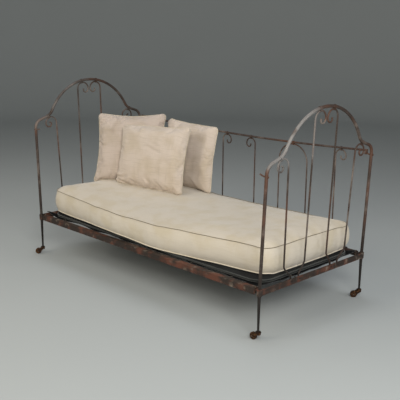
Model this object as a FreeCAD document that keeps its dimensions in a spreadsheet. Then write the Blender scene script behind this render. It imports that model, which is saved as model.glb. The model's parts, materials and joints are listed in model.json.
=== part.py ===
"""Wrought-iron daybed on castors, with a canvas sling, a mattress and three cushions.

X runs along the daybed, Y from front to back and Z up, in millimetres. The origin is the
middle of the floor under it. A panel is one flat piece of ironwork: its own x axis runs across
it, its z axis up in its plane, and its y axis square to it.
"""
import FreeCAD, Part
import math
import os
import Sketcher
from FreeCAD import Placement, Rotation, Vector

SIZES = {
    # Frame
    "frame_length": (1900, "between the posts of the two ends, at the leg tops"),
    "frame_width": (866, "between the posts of one end"),
    "end_lean_angle": (2.27, "outward lean of each end, in degrees"),
    "post_dia": (17, "post and arch bar"),
    "leg_tip_dia": (11, "leg at its foot"),
    "leg_swell": (1.1, "how far the forged knee of the leg stands out"),
    "knee_drop": (9, "from the underside of the rails to the knee"),
    "castor_height": (50, "from the floor to the leg"),
    # Seat rails
    "rail_top": (268, "top of the seat rails"),
    "rail_depth": (32, "depth of the seat rails"),
    "iron_wall": (4, "wall of the long angle rails"),
    "flange_width": (32, "top flange of the long rails"),
    "rail_offset": (8, "outer face of the long rails, past the post centres"),
    "corner_gap": (25, "from the post centre to the end of a long rail"),
    "bar_wall": (6, "flat bar of the end rails"),
    "sleeve_wall": (5, "wall of the sleeve round each post"),
    "sleeve_proud": (1, "how far a sleeve stands past the bar"),
    "ear_wall": (6, "ear under the flange"),
    "ear_width": (24, "width of the ear"),
    "ear_reach": (46, "from the post centre to the end of the ear"),
    # Corner bolts
    "bolt_dia": (8, "corner bolt"),
    "bolt_play": (0.4, "play of a bolt in its hole, on the diameter"),
    "bolt_length": (30, "shank of the corner bolt"),
    "bolt_head": (13, "bolt head and nut, across the flats"),
    "bolt_head_wall": (5.3, "bolt head"),
    "nut_wall": (6.5, "nut"),
    "bolt_setback": (32, "from the post centre to the bolt"),
    # Arch
    "arch_height": (1125, "top of the arch, along its own plane"),
    "arch_half_angle": (62.3, "half the angle of the top curve, in degrees"),
    "hollow_radius": (80, "hollow curve beside the top"),
    "shoulder_angle": (18, "slope of the straight run, in degrees"),
    "slope_run": (49.3, "straight run before the shoulder"),
    "shoulder_radius": (55, "shoulder curve into the post"),
    # Balusters
    "baluster_dia": (9, "baluster bar"),
    "inner_scroll_gap": (7, "between the two facing scrolls"),
    "inner_scroll": (42, "first curve of the inner scroll"),
    "inner_scroll_mid": (23.5, "second curve of the inner scroll"),
    "inner_scroll_tip": (15, "last curve of the inner scroll"),
    "outer_contact_angle": (25.7, "where the outer scroll meets the hollow, in degrees"),
    "outer_scroll": (40, "first curve of the outer scroll"),
    "outer_scroll_mid": (23, "second curve of the outer scroll"),
    "outer_scroll_low": (18, "third curve of the outer scroll"),
    "outer_scroll_tip": (9.5, "last curve of the outer scroll"),
    "outer_splay": (18, "how far the outer baluster closes in on its way down"),
    "inner_foot": (134, "from the middle to the foot of the inner baluster"),
    "outer_foot": (197, "from the middle to the foot of the outer baluster"),
    "foot_bend_low": (11, "lower bend of a baluster, above the rail"),
    "foot_bend_high": (67, "upper bend of a baluster, above the rail"),
    "foot_bend_radius": (22, "bends near a baluster's foot"),
    "foot_lap": (25, "how far a foot laps the end rail"),
    # Straps, rivets and pegs
    "rod_gap": (0.3, "between two bars that a strap ties"),
    "strap_width": (8.5, "strap along the bars"),
    "strap_wall": (1.8, "strap"),
    "strap_play": (0.5, "between a strap and its bars"),
    "seat_gap": (0.1, "between faces that seat on each other"),
    "rivet_dia": (4, "foot rivet"),
    "rivet_head": (8.5, "foot rivet head"),
    "rivet_head_wall": (2.4, "foot rivet head"),
    "rivet_play": (0.2, "play of a rivet or tenon in its hole, on the diameter"),
    "peg_dia": (8, "peg on the post"),
    "peg_neck": (4, "level start of the peg, beside the post"),
    "peg_bend": (20, "bend of the peg"),
    "peg_rise": (15, "slope of the peg towards its tip, in degrees"),
    "peg_tip": (24, "straight tip of the peg"),
    "lug_place": (16, "from the bend of a peg to the lug that hangs on it"),
    "peg_tenon_dia": (6, "tenon of the peg through the post"),
    "peg_head": (11, "riveted head of the peg"),
    "peg_head_wall": (3, "riveted head of the peg"),
    # Gallery
    "gallery_rail_dia": (12, "top rail of the back gallery"),
    "gallery_rod_dia": (8, "scrolls and hoops of the back gallery"),
    "peg_drop": (8.4, "from the top of the straight post down to the peg"),
    "gallery_sag": (24.5, "how far the top rail sags between its ends"),
    "lug_dia": (24, "lug under each end of the top rail"),
    "lug_wall": (6, "lug"),
    "lug_play": (0.3, "between the peg and the slot of the lug, all round"),
    "lug_drop": (13.5, "from the top rail down to the middle of a lug"),
    "lug_mouth": (12, "mouth of the slot, below the peg"),
    "rail_overrun": (8, "from the middle of a lug to the end of the top rail"),
    "rail_straight": (24, "straight end of the top rail"),
    "hoop_place": (438, "from the middle to the centre of a hoop"),
    "hoop_radius": (105, "hoop"),
    "inner_rod_place": (137, "from the middle to the upright of an inner scroll"),
    "outer_rod_gap": (208, "from the post to the upright of an outer scroll"),
    "gallery_scroll": (35, "first curve of a gallery scroll"),
    "gallery_scroll_mid": (20, "second curve of a gallery scroll"),
    "gallery_scroll_tip": (14, "last curve of a gallery scroll"),
    "foot_bar_width": (20, "foot bar of the gallery"),
    "foot_bar_wall": (6, "foot bar of the gallery"),
    "foot_bar_gap": (100, "from the post centre to the end of the foot bar"),
    "tenon_dia": (5, "tenon of a gallery rod in the foot bar"),
    "tab_place": (640, "from the middle to a hook tab"),
    "tab_width": (30, "hook tab behind the back rail"),
    "tab_wall": (3, "hook tab"),
    "tab_drop": (22, "how far a hook tab reaches down behind the rail"),
    # Castors
    "wheel_dia": (38, "castor wheel"),
    "wheel_width": (18, "castor wheel"),
    "wheel_edge": (2.5, "rounded edge of the wheel"),
    "castor_trail": (30, "from the stem to the axle"),
    "crown_dia": (26, "castor crown"),
    "crown_wall": (17, "castor crown"),
    "crown_gap": (0.3, "between the crown and the leg"),
    "cheek_wall": (4, "cheek beside the wheel"),
    "cheek_gap": (0.6, "between the wheel and a cheek"),
    "cheek_top_radius": (9, "cheek where it leaves the crown"),
    "axle_boss": (16, "round end of a cheek"),
    "axle_dia": (5, "axle pin"),
    "axle_head": (9, "head of the axle pin"),
    "axle_head_wall": (1.2, "head of the axle pin"),
    "stem_dia": (6, "castor stem"),
    "stem_length": (36, "stem above the crown"),
    "running_fit": (0.05, "between a shaft and its bore, all round"),
    # Sling
    "sling_wall": (2.5, "canvas sling"),
    "sling_drop": (4.5, "from the rail top to the sling"),
    "sling_inset": (43, "from the outer face of a long rail to a tip of the sling"),
    "sling_end_inset": (24, "from the end frame to the end tips of the sling"),
    "sling_corner_inset": (50, "from the end frame to the corners of the sling"),
    "scallop_depth": (35, "depth of a long-side scallop"),
    "end_scallop_depth": (16, "depth of an end scallop"),
    "hook_pitch": (293, "between two long-side hooks"),
    "end_hook_place": (165.5, "from the middle to an end hook"),
    "hook_wire": (3, "wire hook"),
    "hook_play": (1, "between a hook and its hole, on the diameter"),
    "hook_bend": (3, "bends of a hook"),
    "eyelet_inset": (5, "from a tip of the sling to its eyelet"),
    "hook_toe": (9, "how far a hook reaches under the sling"),
    "hook_drop": (4, "how far a hook hangs below the sling"),
    # Pad and mattress
    "soft_gap": (0.3, "between soft pieces and what carries them"),
    "pad_wall": (18, "under-pad"),
    "pad_left_gap": (40, "from the left posts to the under-pad"),
    "pad_right_gap": (35, "from the right posts to the under-pad"),
    "pad_front_gap": (55, "from the front posts to the under-pad"),
    "pad_back_gap": (45, "from the back posts to the under-pad"),
    "pad_corner_radius": (90, "corners of the under-pad"),
    "mattress_band": (141, "side band of the mattress"),
    "mattress_crown": (28, "crown of the mattress above its side band"),
    "mattress_bulge": (14, "how far the side band stands out beyond its seams"),
    "mattress_left_gap": (17, "from the left posts to the mattress"),
    "mattress_right_gap": (47, "from the right posts to the mattress"),
    "mattress_back_gap": (17, "from the back posts to the mattress"),
    "mattress_front_gap": (65, "from the front left post to the mattress"),
    "mattress_taper": (40, "how much nearer the right front corner lies"),
    "mattress_bow": (54, "how far the front bows out"),
    "mattress_corner_radius": (88, "front corners of the mattress"),
    "mattress_back_radius": (58, "back corners of the mattress"),
    # Cushions
    "left_cushion_width": (460, "cushion in the left back corner"),
    "left_cushion_height": (462, "cushion in the left back corner"),
    "right_cushion_width": (463, "cushion against the gallery"),
    "right_cushion_height": (420, "cushion against the gallery"),
    "front_cushion_width": (505, "cushion in front of the other two"),
    "front_cushion_height": (412, "cushion in front of the other two"),
    "left_cushion_along": (214, "from the left posts to the middle of the left back cushion"),
    "left_cushion_forward": (283, "from the back posts to the middle of the left back cushion"),
    "left_cushion_yaw": (-49.8, "heading of the left back cushion, in degrees"),
    "left_cushion_lean": (17.3, "lean of the left back cushion, in degrees"),
    "left_cushion_settle": (0.3, "left back cushion above the top of the crown"),
    "right_cushion_along": (575, "from the left posts to the middle of the cushion on the gallery"),
    "right_cushion_forward": (22, "from the gallery rods to the back of the cushion, at its middle"),
    "right_cushion_yaw": (-90, "heading of the cushion on the gallery, in degrees"),
    "right_cushion_lean": (9.2, "lean of the cushion on the gallery, in degrees"),
    "right_cushion_settle": (-5.2, "cushion on the gallery above the top of the crown"),
    "front_cushion_along": (492, "from the left posts to the middle of the front cushion"),
    "front_cushion_forward": (318, "from the back posts to the middle of the front cushion"),
    "front_cushion_yaw": (-77, "heading of the front cushion, in degrees"),
    "front_cushion_lean": (13.1, "lean of the front cushion, in degrees"),
    "front_cushion_settle": (0.5, "front cushion above the top of the crown"),
    "cushion_belly": (61, "front of a cushion, from its seam to its middle"),
    "cushion_back": (44, "back of a cushion, from its seam to its middle"),
    "cushion_edge": (14, "cushions, at their seam"),
    "cushion_corner_radius": (34, "corners of the cushions"),
    "cushion_waist": (9, "how far a cushion's sides pull in between its corners"),
}

DOC = FreeCAD.newDocument("daybed")
SHEET = DOC.addObject("Spreadsheet::Sheet", "Sizes")
SHEET.set("A1", "Size")
SHEET.set("B1", "Value")
SHEET.set("C1", "What it is")
for row, (alias, (amount, meaning)) in enumerate(SIZES.items(), start=2):
    SHEET.set(f"A{row}", alias)
    SHEET.set(f"B{row}", str(amount))
    SHEET.setAlias(f"B{row}", alias)
    SHEET.set(f"C{row}", meaning)
DOC.recompute()

PIECES = []


def size(alias):
    """Value of one cell of the sheet."""
    return float(SHEET.get(alias))


def angle(alias):
    """Value of one angle of the sheet, in radians."""
    return math.radians(size(alias))


def add(kind, name, place=None, **formulas):
    """Add an object, bind its sizes to the sheet and place it."""
    thing = DOC.addObject(kind, name)
    for prop, formula in formulas.items():
        thing.setExpression(prop, formula)
    if place is not None:
        thing.Placement = place
    return thing


def piece(thing, name):
    """Mark an object as one sub-part of the daybed."""
    thing.Label = name
    PIECES.append(thing)
    return thing


def fused(name, things):
    """Union of several objects."""
    if len(things) == 1:
        return things[0]
    union = add("Part::MultiFuse", name)
    union.Shapes = things
    return union


def group(name, things):
    """Several separate solids that share one node."""
    bundle = add("Part::Compound", name)
    bundle.Links = things
    return piece(bundle, name)


def cut(name, base, tools):
    """An object with others taken away from it."""
    taken = tools[0]
    if len(tools) > 1:
        taken = add("Part::Compound", name + "_tools")
        taken.Links = tools
    result = add("Part::Cut", name)
    result.Base = base
    result.Tool = taken
    return result


def box(name, low, place, **formulas):
    """A box with one corner at low in the frame given by place."""
    return add("Part::Box", name, place.multiply(Placement(low, Rotation())), **formulas)


def cylinder(name, start, direction, place, **formulas):
    """A cylinder from a point along a direction, in the frame given by place."""
    turned = Placement(start, Rotation(Vector(0, 0, 1), direction))
    return add("Part::Cylinder", name, place.multiply(turned), **formulas)


class Path:
    """A line in the xz plane, made of straight runs and arcs tangent to them."""

    def __init__(self, x, z, heading):
        self.x = x
        self.z = z
        self.heading = math.radians(heading)
        self.edges = []
        self.start = Vector(x, 0, z)
        self.aim = Vector(math.cos(self.heading), 0, math.sin(self.heading))

    def here(self):
        """Where the line has come to."""
        return Vector(self.x, 0, self.z)

    def run(self, length):
        """Go straight on."""
        begin = self.here()
        self.x += length * math.cos(self.heading)
        self.z += length * math.sin(self.heading)
        self.edges.append(Part.LineSegment(begin, self.here()).toShape())
        return self

    def bend(self, radius, turn):
        """Turn by an angle in degrees, to the left where it is positive."""
        begin = self.here()
        side = math.copysign(1, turn)
        centre = (self.x - side * radius * math.sin(self.heading),
                  self.z + side * radius * math.cos(self.heading))
        middle = self.on_circle(centre, radius, side, self.heading + math.radians(turn) / 2)
        self.heading += math.radians(turn)
        end = self.on_circle(centre, radius, side, self.heading)
        self.x = end.x
        self.z = end.z
        self.edges.append(Part.Arc(begin, middle, end).toShape())
        return self

    @staticmethod
    def on_circle(centre, radius, side, heading):
        """Point of a bend where it has a given heading."""
        return Vector(centre[0] + side * radius * math.sin(heading), 0,
                      centre[1] - side * radius * math.cos(heading))

    def run_to(self, x, z, next_x, next_z, radius):
        """Go to a corner and round it towards the next corner."""
        along = math.atan2(next_z - z, next_x - x)
        turn = math.remainder(along - self.heading, 2 * math.pi)
        reach = radius * math.tan(abs(turn) / 2)
        self.run(math.hypot(x - self.x, z - self.z) - reach)
        self.bend(radius, math.degrees(turn))
        return self


def corner_path(points, radius):
    """Straight runs between points, with every corner rounded."""
    (x, z), (next_x, next_z) = points[:2]
    line = Path(x, z, math.degrees(math.atan2(next_z - z, next_x - x)))
    for corner, following in zip(points[1:], points[2:]):
        line.run_to(*corner, *following, radius)
    line.run(math.hypot(points[-1][0] - line.x, points[-1][1] - line.z))
    return line


def rod(name, path, alias, place, ball=None):
    """Round bar along a path, with a ball forged on its far end where one is asked for."""
    line = add("Part::Feature", name + "_line")
    line.Shape = Part.Wire(path.edges)
    ring = add("Part::Circle", name + "_ring", Radius=f"Sizes.{alias} / 2")
    ring.Placement = Placement(path.start, Rotation(Vector(0, 0, 1), path.aim))
    bar = add("Part::Sweep", name + "_bar")
    bar.Sections = [ring]
    bar.Spine = (line, [f"Edge{number + 1}" for number in range(len(path.edges))])
    bar.Solid = True
    bar.Placement = place
    if ball is None:
        return bar
    tip = add("Part::Sphere", name + "_ball", place.multiply(Placement(path.here(), Rotation())),
              Radius=f"Sizes.{alias} / 2 + {ball}")
    return fused(name + "_forged", [bar, tip])


# ---------------------------------------------------------------- places that several pieces share

WORLD = Placement()
POST_X = size("frame_length") / 2
POST_Y = size("frame_width") / 2
RAIL_TOP = size("rail_top")
RAIL_BOTTOM = RAIL_TOP - size("rail_depth")
KNEE_Z = RAIL_BOTTOM - size("knee_drop")
POST_R = size("post_dia") / 2
BALUSTER_R = size("baluster_dia") / 2
TURN_END = {1: 90, -1: 270}
ENDS = {"right": 1, "left": -1}
SIDES = {"front": -1, "back": 1}


def end_panel(end):
    """Frame of an end: x across it, y inward and z up along its lean, from the knees."""
    lean = Rotation(Vector(0, 1, 0), end * size("end_lean_angle"))
    return Placement(Vector(end * POST_X, 0, KNEE_Z), lean.multiply(Rotation(Vector(0, 0, 1), TURN_END[end])))


def across(end, side):
    """Sign of a panel's own x for the front or back side of an end."""
    return end * side


def post_point(end, side, height):
    """Middle of a post at a height above the floor, measured along the post."""
    local = Vector(across(end, side) * POST_Y, 0, height - KNEE_Z)
    return end_panel(end).multVec(local)


# ---------------------------------------------------------------- arches

SLOPE = angle("shoulder_angle")
SWEEP = angle("arch_half_angle")
HOLLOW_R = size("hollow_radius")
SHOULDER_R = size("shoulder_radius")
TOP_R = (POST_Y - HOLLOW_R * (math.sin(SWEEP) - math.sin(SLOPE)) - size("slope_run") * math.cos(SLOPE)
         - SHOULDER_R * (1 - math.sin(SLOPE))) / math.sin(SWEEP)
TOP_CENTRE_Z = size("arch_height") - KNEE_Z - TOP_R
HOLLOW_X = (TOP_R + HOLLOW_R) * math.sin(SWEEP)
HOLLOW_Z = TOP_CENTRE_Z + (TOP_R + HOLLOW_R) * math.cos(SWEEP)
SHOULDER_Z = (HOLLOW_Z - (HOLLOW_R + SHOULDER_R) * math.cos(SLOPE)
              - size("slope_run") * math.sin(SLOPE))


def arch_path():
    """From one knee over the top to the other."""
    line = Path(-POST_Y, 0, 90)
    line.run(SHOULDER_Z)
    line.bend(SHOULDER_R, size("shoulder_angle") - 90)
    line.run(size("slope_run"))
    line.bend(HOLLOW_R, size("arch_half_angle") - size("shoulder_angle"))
    line.bend(TOP_R, -2 * size("arch_half_angle"))
    line.bend(HOLLOW_R, size("arch_half_angle") - size("shoulder_angle"))
    line.run(size("slope_run"))
    line.bend(SHOULDER_R, size("shoulder_angle") - 90)
    line.run(SHOULDER_Z)
    return line


PEG_HEIGHT = KNEE_Z + SHOULDER_Z - size("peg_drop")
PEG_START = POST_R + size("seat_gap")
PEG_RISE = angle("peg_rise")
LUG_REACH = (PEG_START + size("peg_neck") + size("peg_bend") * math.sin(PEG_RISE)
             + size("lug_place") * math.cos(PEG_RISE))
LUG_LIFT = size("peg_bend") * (1 - math.cos(PEG_RISE)) + size("lug_place") * math.sin(PEG_RISE)
LUG = end_panel(1).multVec(Vector(0, LUG_REACH, PEG_HEIGHT - KNEE_Z + LUG_LIFT))
GALLERY_END_Z = LUG.z + size("lug_drop")


def make_arch(name, end):
    """One bent bar that is both posts and the arch, with its legs and their bores."""
    parts = [rod(name, arch_path(), "post_dia", end_panel(end))]
    bores = []
    for word, side in SIDES.items():
        knee = Vector(end * POST_X, side * POST_Y, KNEE_Z)
        foot = Vector(knee.x, knee.y, size("castor_height"))
        parts.append(add("Part::Sphere", f"{name}_{word}_knee", Placement(knee, Rotation()),
                         Radius="Sizes.post_dia / 2 + Sizes.leg_swell"))
        parts.append(add("Part::Cone", f"{name}_{word}_leg", Placement(foot, Rotation()),
                         Radius1="Sizes.leg_tip_dia / 2", Radius2="Sizes.post_dia / 2",
                         Height="Sizes.rail_top - Sizes.rail_depth - Sizes.knee_drop"
                                " - Sizes.castor_height"))
        bores.append(cylinder(f"{name}_{word}_bore", foot, Vector(0, 0, 1), WORLD,
                              Radius="Sizes.stem_dia / 2 + Sizes.running_fit",
                              Height="Sizes.stem_length + 2"))
        hole = Vector(across(end, side) * POST_Y, -size("post_dia"), PEG_HEIGHT - KNEE_Z)
        bores.append(cylinder(f"{name}_{word}_peg_hole", hole, Vector(0, 1, 0), end_panel(end),
                              Radius="(Sizes.peg_tenon_dia + Sizes.rivet_play) / 2",
                              Height="2 * Sizes.post_dia"))
    piece(cut(name, fused(name + "_solid", parts), bores), name)


for end_word, end_sign in ENDS.items():
    make_arch(f"{end_word}_arch", end_sign)


# ---------------------------------------------------------------- pegs

def make_peg(name, end, side):
    """Peg through a post, riveted outside and sloping up inside."""
    panel = end_panel(end).multiply(Placement(
        Vector(across(end, side) * POST_Y, 0, PEG_HEIGHT - KNEE_Z), Rotation(Vector(0, 0, 1), 90)))
    line = Path(PEG_START, 0, 0)
    line.run(size("peg_neck"))
    line.bend(size("peg_bend"), size("peg_rise"))
    line.run(size("peg_tip"))
    arm = rod(name, line, "peg_dia", panel)
    tenon = cylinder(name + "_tenon", Vector(PEG_START + 1, 0, 0), Vector(-1, 0, 0), panel,
                     Radius="Sizes.peg_tenon_dia / 2", Height="Sizes.post_dia + 2 * Sizes.seat_gap + 2")
    head = cylinder(name + "_head", Vector(-PEG_START, 0, 0), Vector(-1, 0, 0), panel,
                    Radius="Sizes.peg_head / 2", Height="Sizes.peg_head_wall")
    return fused(name, [arm, tenon, head])


group("post_pegs", [make_peg(f"{end_word}_{side_word}_peg", end_sign, side_sign)
                    for end_word, end_sign in ENDS.items()
                    for side_word, side_sign in SIDES.items()])


# ---------------------------------------------------------------- balusters

FOOT_BOTTOM = RAIL_TOP - size("foot_lap") - KNEE_Z
RIVET_Z = RAIL_TOP - size("foot_lap") / 2 - KNEE_Z
TOUCH = POST_R + BALUSTER_R + size("rod_gap")


def tangent_from(x, z, centre, radius, hand):
    """Point where a line from (x, z) touches a circle on its left (1) or right (-1) side."""
    away = math.hypot(centre[0] - x, centre[1] - z)
    toward = math.atan2(centre[1] - z, centre[0] - x)
    turn = math.asin(radius / away)
    length = math.sqrt(away ** 2 - radius ** 2)
    heading = toward + hand * turn
    return x + length * math.cos(heading), z + length * math.sin(heading)


def baluster_path(foot, waist, centre, curls, hand):
    """From a foot on the rail, through two bends, up to a scroll that turns by its hand."""
    low = RAIL_TOP + size("foot_bend_low") - KNEE_Z
    high = RAIL_TOP + size("foot_bend_high") - KNEE_Z
    top = tangent_from(waist, high, centre, curls[0][0], -hand)
    line = Path(foot, FOOT_BOTTOM, 90)
    line.run_to(foot, low, waist, high, size("foot_bend_radius"))
    line.run_to(waist, high, *top, size("foot_bend_radius"))
    line.run(math.hypot(top[0] - line.x, top[1] - line.z))
    left_over = math.degrees(math.pi / 2 - line.heading)
    line.bend(curls[0][0], hand * curls[0][1] + left_over)
    for radius, turn in curls[1:]:
        line.bend(radius, hand * turn)
    return line


INNER_CURLS = [(size("inner_scroll"), 180), (size("inner_scroll_mid"), 90), (size("inner_scroll_tip"), 110)]
OUTER_CURLS = [(size("outer_scroll"), 180), (size("outer_scroll_mid"), 90), (size("outer_scroll_low"), 90),
               (size("outer_scroll_tip"), 100)]
INNER_RADIUS = TOP_R - TOUCH - size("inner_scroll")
INNER_X = size("inner_scroll") + BALUSTER_R + size("inner_scroll_gap") / 2
INNER_CONTACT = math.asin(INNER_X / INNER_RADIUS)
INNER_CENTRE = (INNER_X, TOP_CENTRE_Z + INNER_RADIUS * math.cos(INNER_CONTACT))
OUTER_RADIUS = HOLLOW_R + TOUCH + size("outer_scroll")
OUTER_CENTRE = (HOLLOW_X - OUTER_RADIUS * math.sin(angle("outer_contact_angle")),
                HOLLOW_Z - OUTER_RADIUS * math.cos(angle("outer_contact_angle")))


def mirrored(centre, hand):
    """A centre for the right (1) or left (-1) half of a panel."""
    return hand * centre[0], centre[1]


def make_baluster(name, end, hand, inner):
    """One scrolled baluster in the half of the panel that its hand gives."""
    if inner:
        centre, curls = INNER_CENTRE, INNER_CURLS
        foot = size("inner_foot")
        waist = centre[0] + curls[0][0]
        turn = hand
    else:
        centre, curls = OUTER_CENTRE, OUTER_CURLS
        foot = size("outer_foot")
        waist = centre[0] - curls[0][0] - size("outer_splay")
        turn = -hand
    path = baluster_path(hand * foot, hand * waist, mirrored(centre, hand), curls, turn)
    panel = end_panel(end)
    bar = rod(name, path, "baluster_dia", panel, ball=0.4)
    hole = cylinder(name + "_hole", Vector(hand * foot, -size("baluster_dia"), RIVET_Z), Vector(0, 1, 0),
                    panel, Radius="(Sizes.rivet_dia + Sizes.rivet_play) / 2",
                    Height="2 * Sizes.baluster_dia")
    piece(cut(name, bar, [hole]), name)


for end_word, end_sign in ENDS.items():
    for side_word, side_sign in SIDES.items():
        for kind_word, is_inner in {"inner": True, "outer": False}.items():
            make_baluster(f"{end_word}_{kind_word}_baluster_{side_word}", end_sign,
                          across(end_sign, side_sign), is_inner)


# ---------------------------------------------------------------- end rails and foot rivets

BAR_INNER_Y = -(BALUSTER_R + size("seat_gap"))


def foot_places():
    """The four baluster feet of a panel."""
    return [hand * size(alias) for hand in (-1, 1) for alias in ("inner_foot", "outer_foot")]


def make_end_rail(name, end):
    """Flat bar with a sleeve round each post and an ear under each long rail."""
    panel = end_panel(end)
    bottom = RAIL_BOTTOM - KNEE_Z
    parts = [box(name + "_bar", Vector(-POST_Y, BAR_INNER_Y - size("bar_wall"), bottom), panel,
                 Length="Sizes.frame_width", Width="Sizes.bar_wall", Height="Sizes.rail_depth")]
    holes = []
    for word, side in SIDES.items():
        centre = Vector(side * POST_Y, 0, bottom - size("sleeve_proud"))
        parts.append(cylinder(f"{name}_{word}_sleeve", centre, Vector(0, 0, 1), panel,
                              Radius="Sizes.post_dia / 2 + Sizes.seat_gap + Sizes.sleeve_wall",
                              Height="Sizes.rail_depth + 2 * Sizes.sleeve_proud"))
        holes.append(cylinder(f"{name}_{word}_bore", centre - Vector(0, 0, 5), Vector(0, 0, 1), panel,
                              Radius="Sizes.post_dia / 2 + Sizes.seat_gap",
                              Height="Sizes.rail_depth + 2 * Sizes.sleeve_proud + 10"))
        tip_x = POST_X - size("ear_reach")
        low_x = tip_x if end > 0 else -POST_X + POST_R
        inner_y = EAR_OUTER_Y - size("ear_width")
        low_y = inner_y if side > 0 else -EAR_OUTER_Y
        parts.append(box(f"{name}_{word}_ear", Vector(low_x, low_y, EAR_TOP - size("ear_wall")), WORLD,
                         Length="Sizes.ear_reach - Sizes.post_dia / 2", Width="Sizes.ear_width",
                         Height="Sizes.ear_wall"))
        holes.append(cylinder(f"{name}_{word}_bolt_hole",
                              bolt_point(end, side) - Vector(0, 0, 2 * size("ear_wall")),
                              Vector(0, 0, 1), WORLD,
                              Radius="(Sizes.bolt_dia + Sizes.bolt_play) / 2",
                              Height="4 * Sizes.ear_wall"))
    for number, place in enumerate(foot_places()):
        holes.append(cylinder(f"{name}_rivet_hole_{number}",
                              Vector(place, BAR_INNER_Y + 1, RIVET_Z), Vector(0, -1, 0), panel,
                              Radius="(Sizes.rivet_dia + Sizes.rivet_play) / 2",
                              Height="Sizes.bar_wall + 2"))
    piece(cut(name, fused(name + "_solid", parts), holes), name)


RAIL_OUTER_Y = POST_Y + size("rail_offset")
FLANGE_BOTTOM = RAIL_TOP - size("iron_wall")
EAR_TOP = FLANGE_BOTTOM - size("seat_gap")
EAR_OUTER_Y = RAIL_OUTER_Y - size("iron_wall") - size("seat_gap")
BOLT_Y = EAR_OUTER_Y - size("ear_width") / 2


def bolt_point(end, side):
    """Middle of a corner bolt at the underside of the flange."""
    return Vector(end * (POST_X - size("bolt_setback")), side * BOLT_Y, FLANGE_BOTTOM)


def make_rivet(name, end, place):
    """Rivet through a baluster foot and the end rail, with a head on each side."""
    panel = end_panel(end)
    inner = BALUSTER_R + size("seat_gap")
    outer = BAR_INNER_Y - size("bar_wall") - size("seat_gap")
    shank = cylinder(name + "_shank", Vector(place, inner + 1, RIVET_Z), Vector(0, -1, 0), panel,
                     Radius="Sizes.rivet_dia / 2",
                     Height="Sizes.baluster_dia + Sizes.bar_wall + 3 * Sizes.seat_gap + 2")
    heads = [cylinder(f"{name}_head_{word}", Vector(place, start, RIVET_Z), Vector(0, way, 0), panel,
                      Radius="Sizes.rivet_head / 2", Height="Sizes.rivet_head_wall")
             for word, start, way in (("in", inner, 1), ("out", outer, -1))]
    return fused(name, [shank] + heads)


for end_word, end_sign in ENDS.items():
    make_end_rail(f"{end_word}_end_rail", end_sign)
group("foot_rivets", [make_rivet(f"{end_word}_rivet_{number}", end_sign, foot)
                      for end_word, end_sign in ENDS.items()
                      for number, foot in enumerate(foot_places())])


# ---------------------------------------------------------------- long rails

def bound_sketch(body, plane, corners):
    """Closed outline in a body whose every corner is held by two formulas of the sheet."""
    sketch = body.newObject("Sketcher::SketchObject", body.Name + "_sketch")
    support = [feature for feature in body.Origin.OriginFeatures if feature.Role == plane][0]
    sketch.AttachmentSupport = (support, [""])
    sketch.MapMode = "FlatFace"
    points = [Vector(float(SHEET.evalExpression(x)), float(SHEET.evalExpression(y)), 0)
              for x, y in corners]
    count = len(points)
    for number, point in enumerate(points):
        sketch.addGeometry(Part.LineSegment(point, points[(number + 1) % count]), False)
    for number in range(count):
        sketch.addConstraint(Sketcher.Constraint("Coincident", number, 2, (number + 1) % count, 1))
    for number, (x, y) in enumerate(corners):
        for kind, amount, formula in (("DistanceX", points[number].x, x),
                                      ("DistanceY", points[number].y, y)):
            index = sketch.addConstraint(Sketcher.Constraint(kind, -1, 1, number, 1, amount))
            sketch.setExpression(f"Constraints[{index}]", formula)
    return sketch


HOOK_XS = [(number - 2.5) * size("hook_pitch") for number in range(6)]
HOOK_Y = RAIL_OUTER_Y - size("flange_width") + size("eyelet_inset")
SLING_TIP_Y = RAIL_OUTER_Y - size("sling_inset")


def make_long_rail(name, side):
    """Angle iron with its flange on top, with bolt holes and holes for the sling hooks."""
    outer = "Sizes.frame_width / 2 + Sizes.rail_offset"
    corners = [(outer, "Sizes.rail_top"),
               (outer, "Sizes.rail_top - Sizes.rail_depth"),
               (f"{outer} - Sizes.iron_wall", "Sizes.rail_top - Sizes.rail_depth"),
               (f"{outer} - Sizes.iron_wall", "Sizes.rail_top - Sizes.iron_wall"),
               (f"{outer} - Sizes.flange_width", "Sizes.rail_top - Sizes.iron_wall"),
               (f"{outer} - Sizes.flange_width", "Sizes.rail_top")]
    body = DOC.addObject("PartDesign::Body", name + "_body")
    sketch = bound_sketch(body, "YZ_Plane", corners)
    pad = body.newObject("PartDesign::Pad", name + "_pad")
    pad.Profile = sketch
    pad.Midplane = True
    pad.setExpression("Length", "Sizes.frame_length - 2 * Sizes.corner_gap")
    body.Tip = pad
    body.Placement = Placement(Vector(), Rotation(Vector(0, 0, 1), 0 if side > 0 else 180))
    drill_top = RAIL_TOP + 1
    holes = [cylinder(f"{name}_bolt_hole_{word}",
                      Vector(bolt_point(end, side).x, side * BOLT_Y, drill_top), Vector(0, 0, -1),
                      WORLD, Radius="(Sizes.bolt_dia + Sizes.bolt_play) / 2",
                      Height="Sizes.iron_wall + 2")
             for word, end in ENDS.items()]
    holes += [cylinder(f"{name}_hook_hole_{number}", Vector(place, side * HOOK_Y, drill_top),
                       Vector(0, 0, -1), WORLD, Radius="(Sizes.hook_wire + Sizes.hook_play) / 2",
                       Height="Sizes.iron_wall + 2")
              for number, place in enumerate(HOOK_XS)]
    piece(cut(name, body, holes), name)


for side_word, side_sign in SIDES.items():
    make_long_rail(f"{side_word}_rail", side_sign)


# ---------------------------------------------------------------- corner bolts and nuts

def hexagon(name, place, **formulas):
    """Hexagonal prism, for a bolt head or a nut."""
    return add("Part::Prism", name, place, Polygon="6",
               Circumradius="Sizes.bolt_head / 2 / cos(30 deg)", **formulas)


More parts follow.
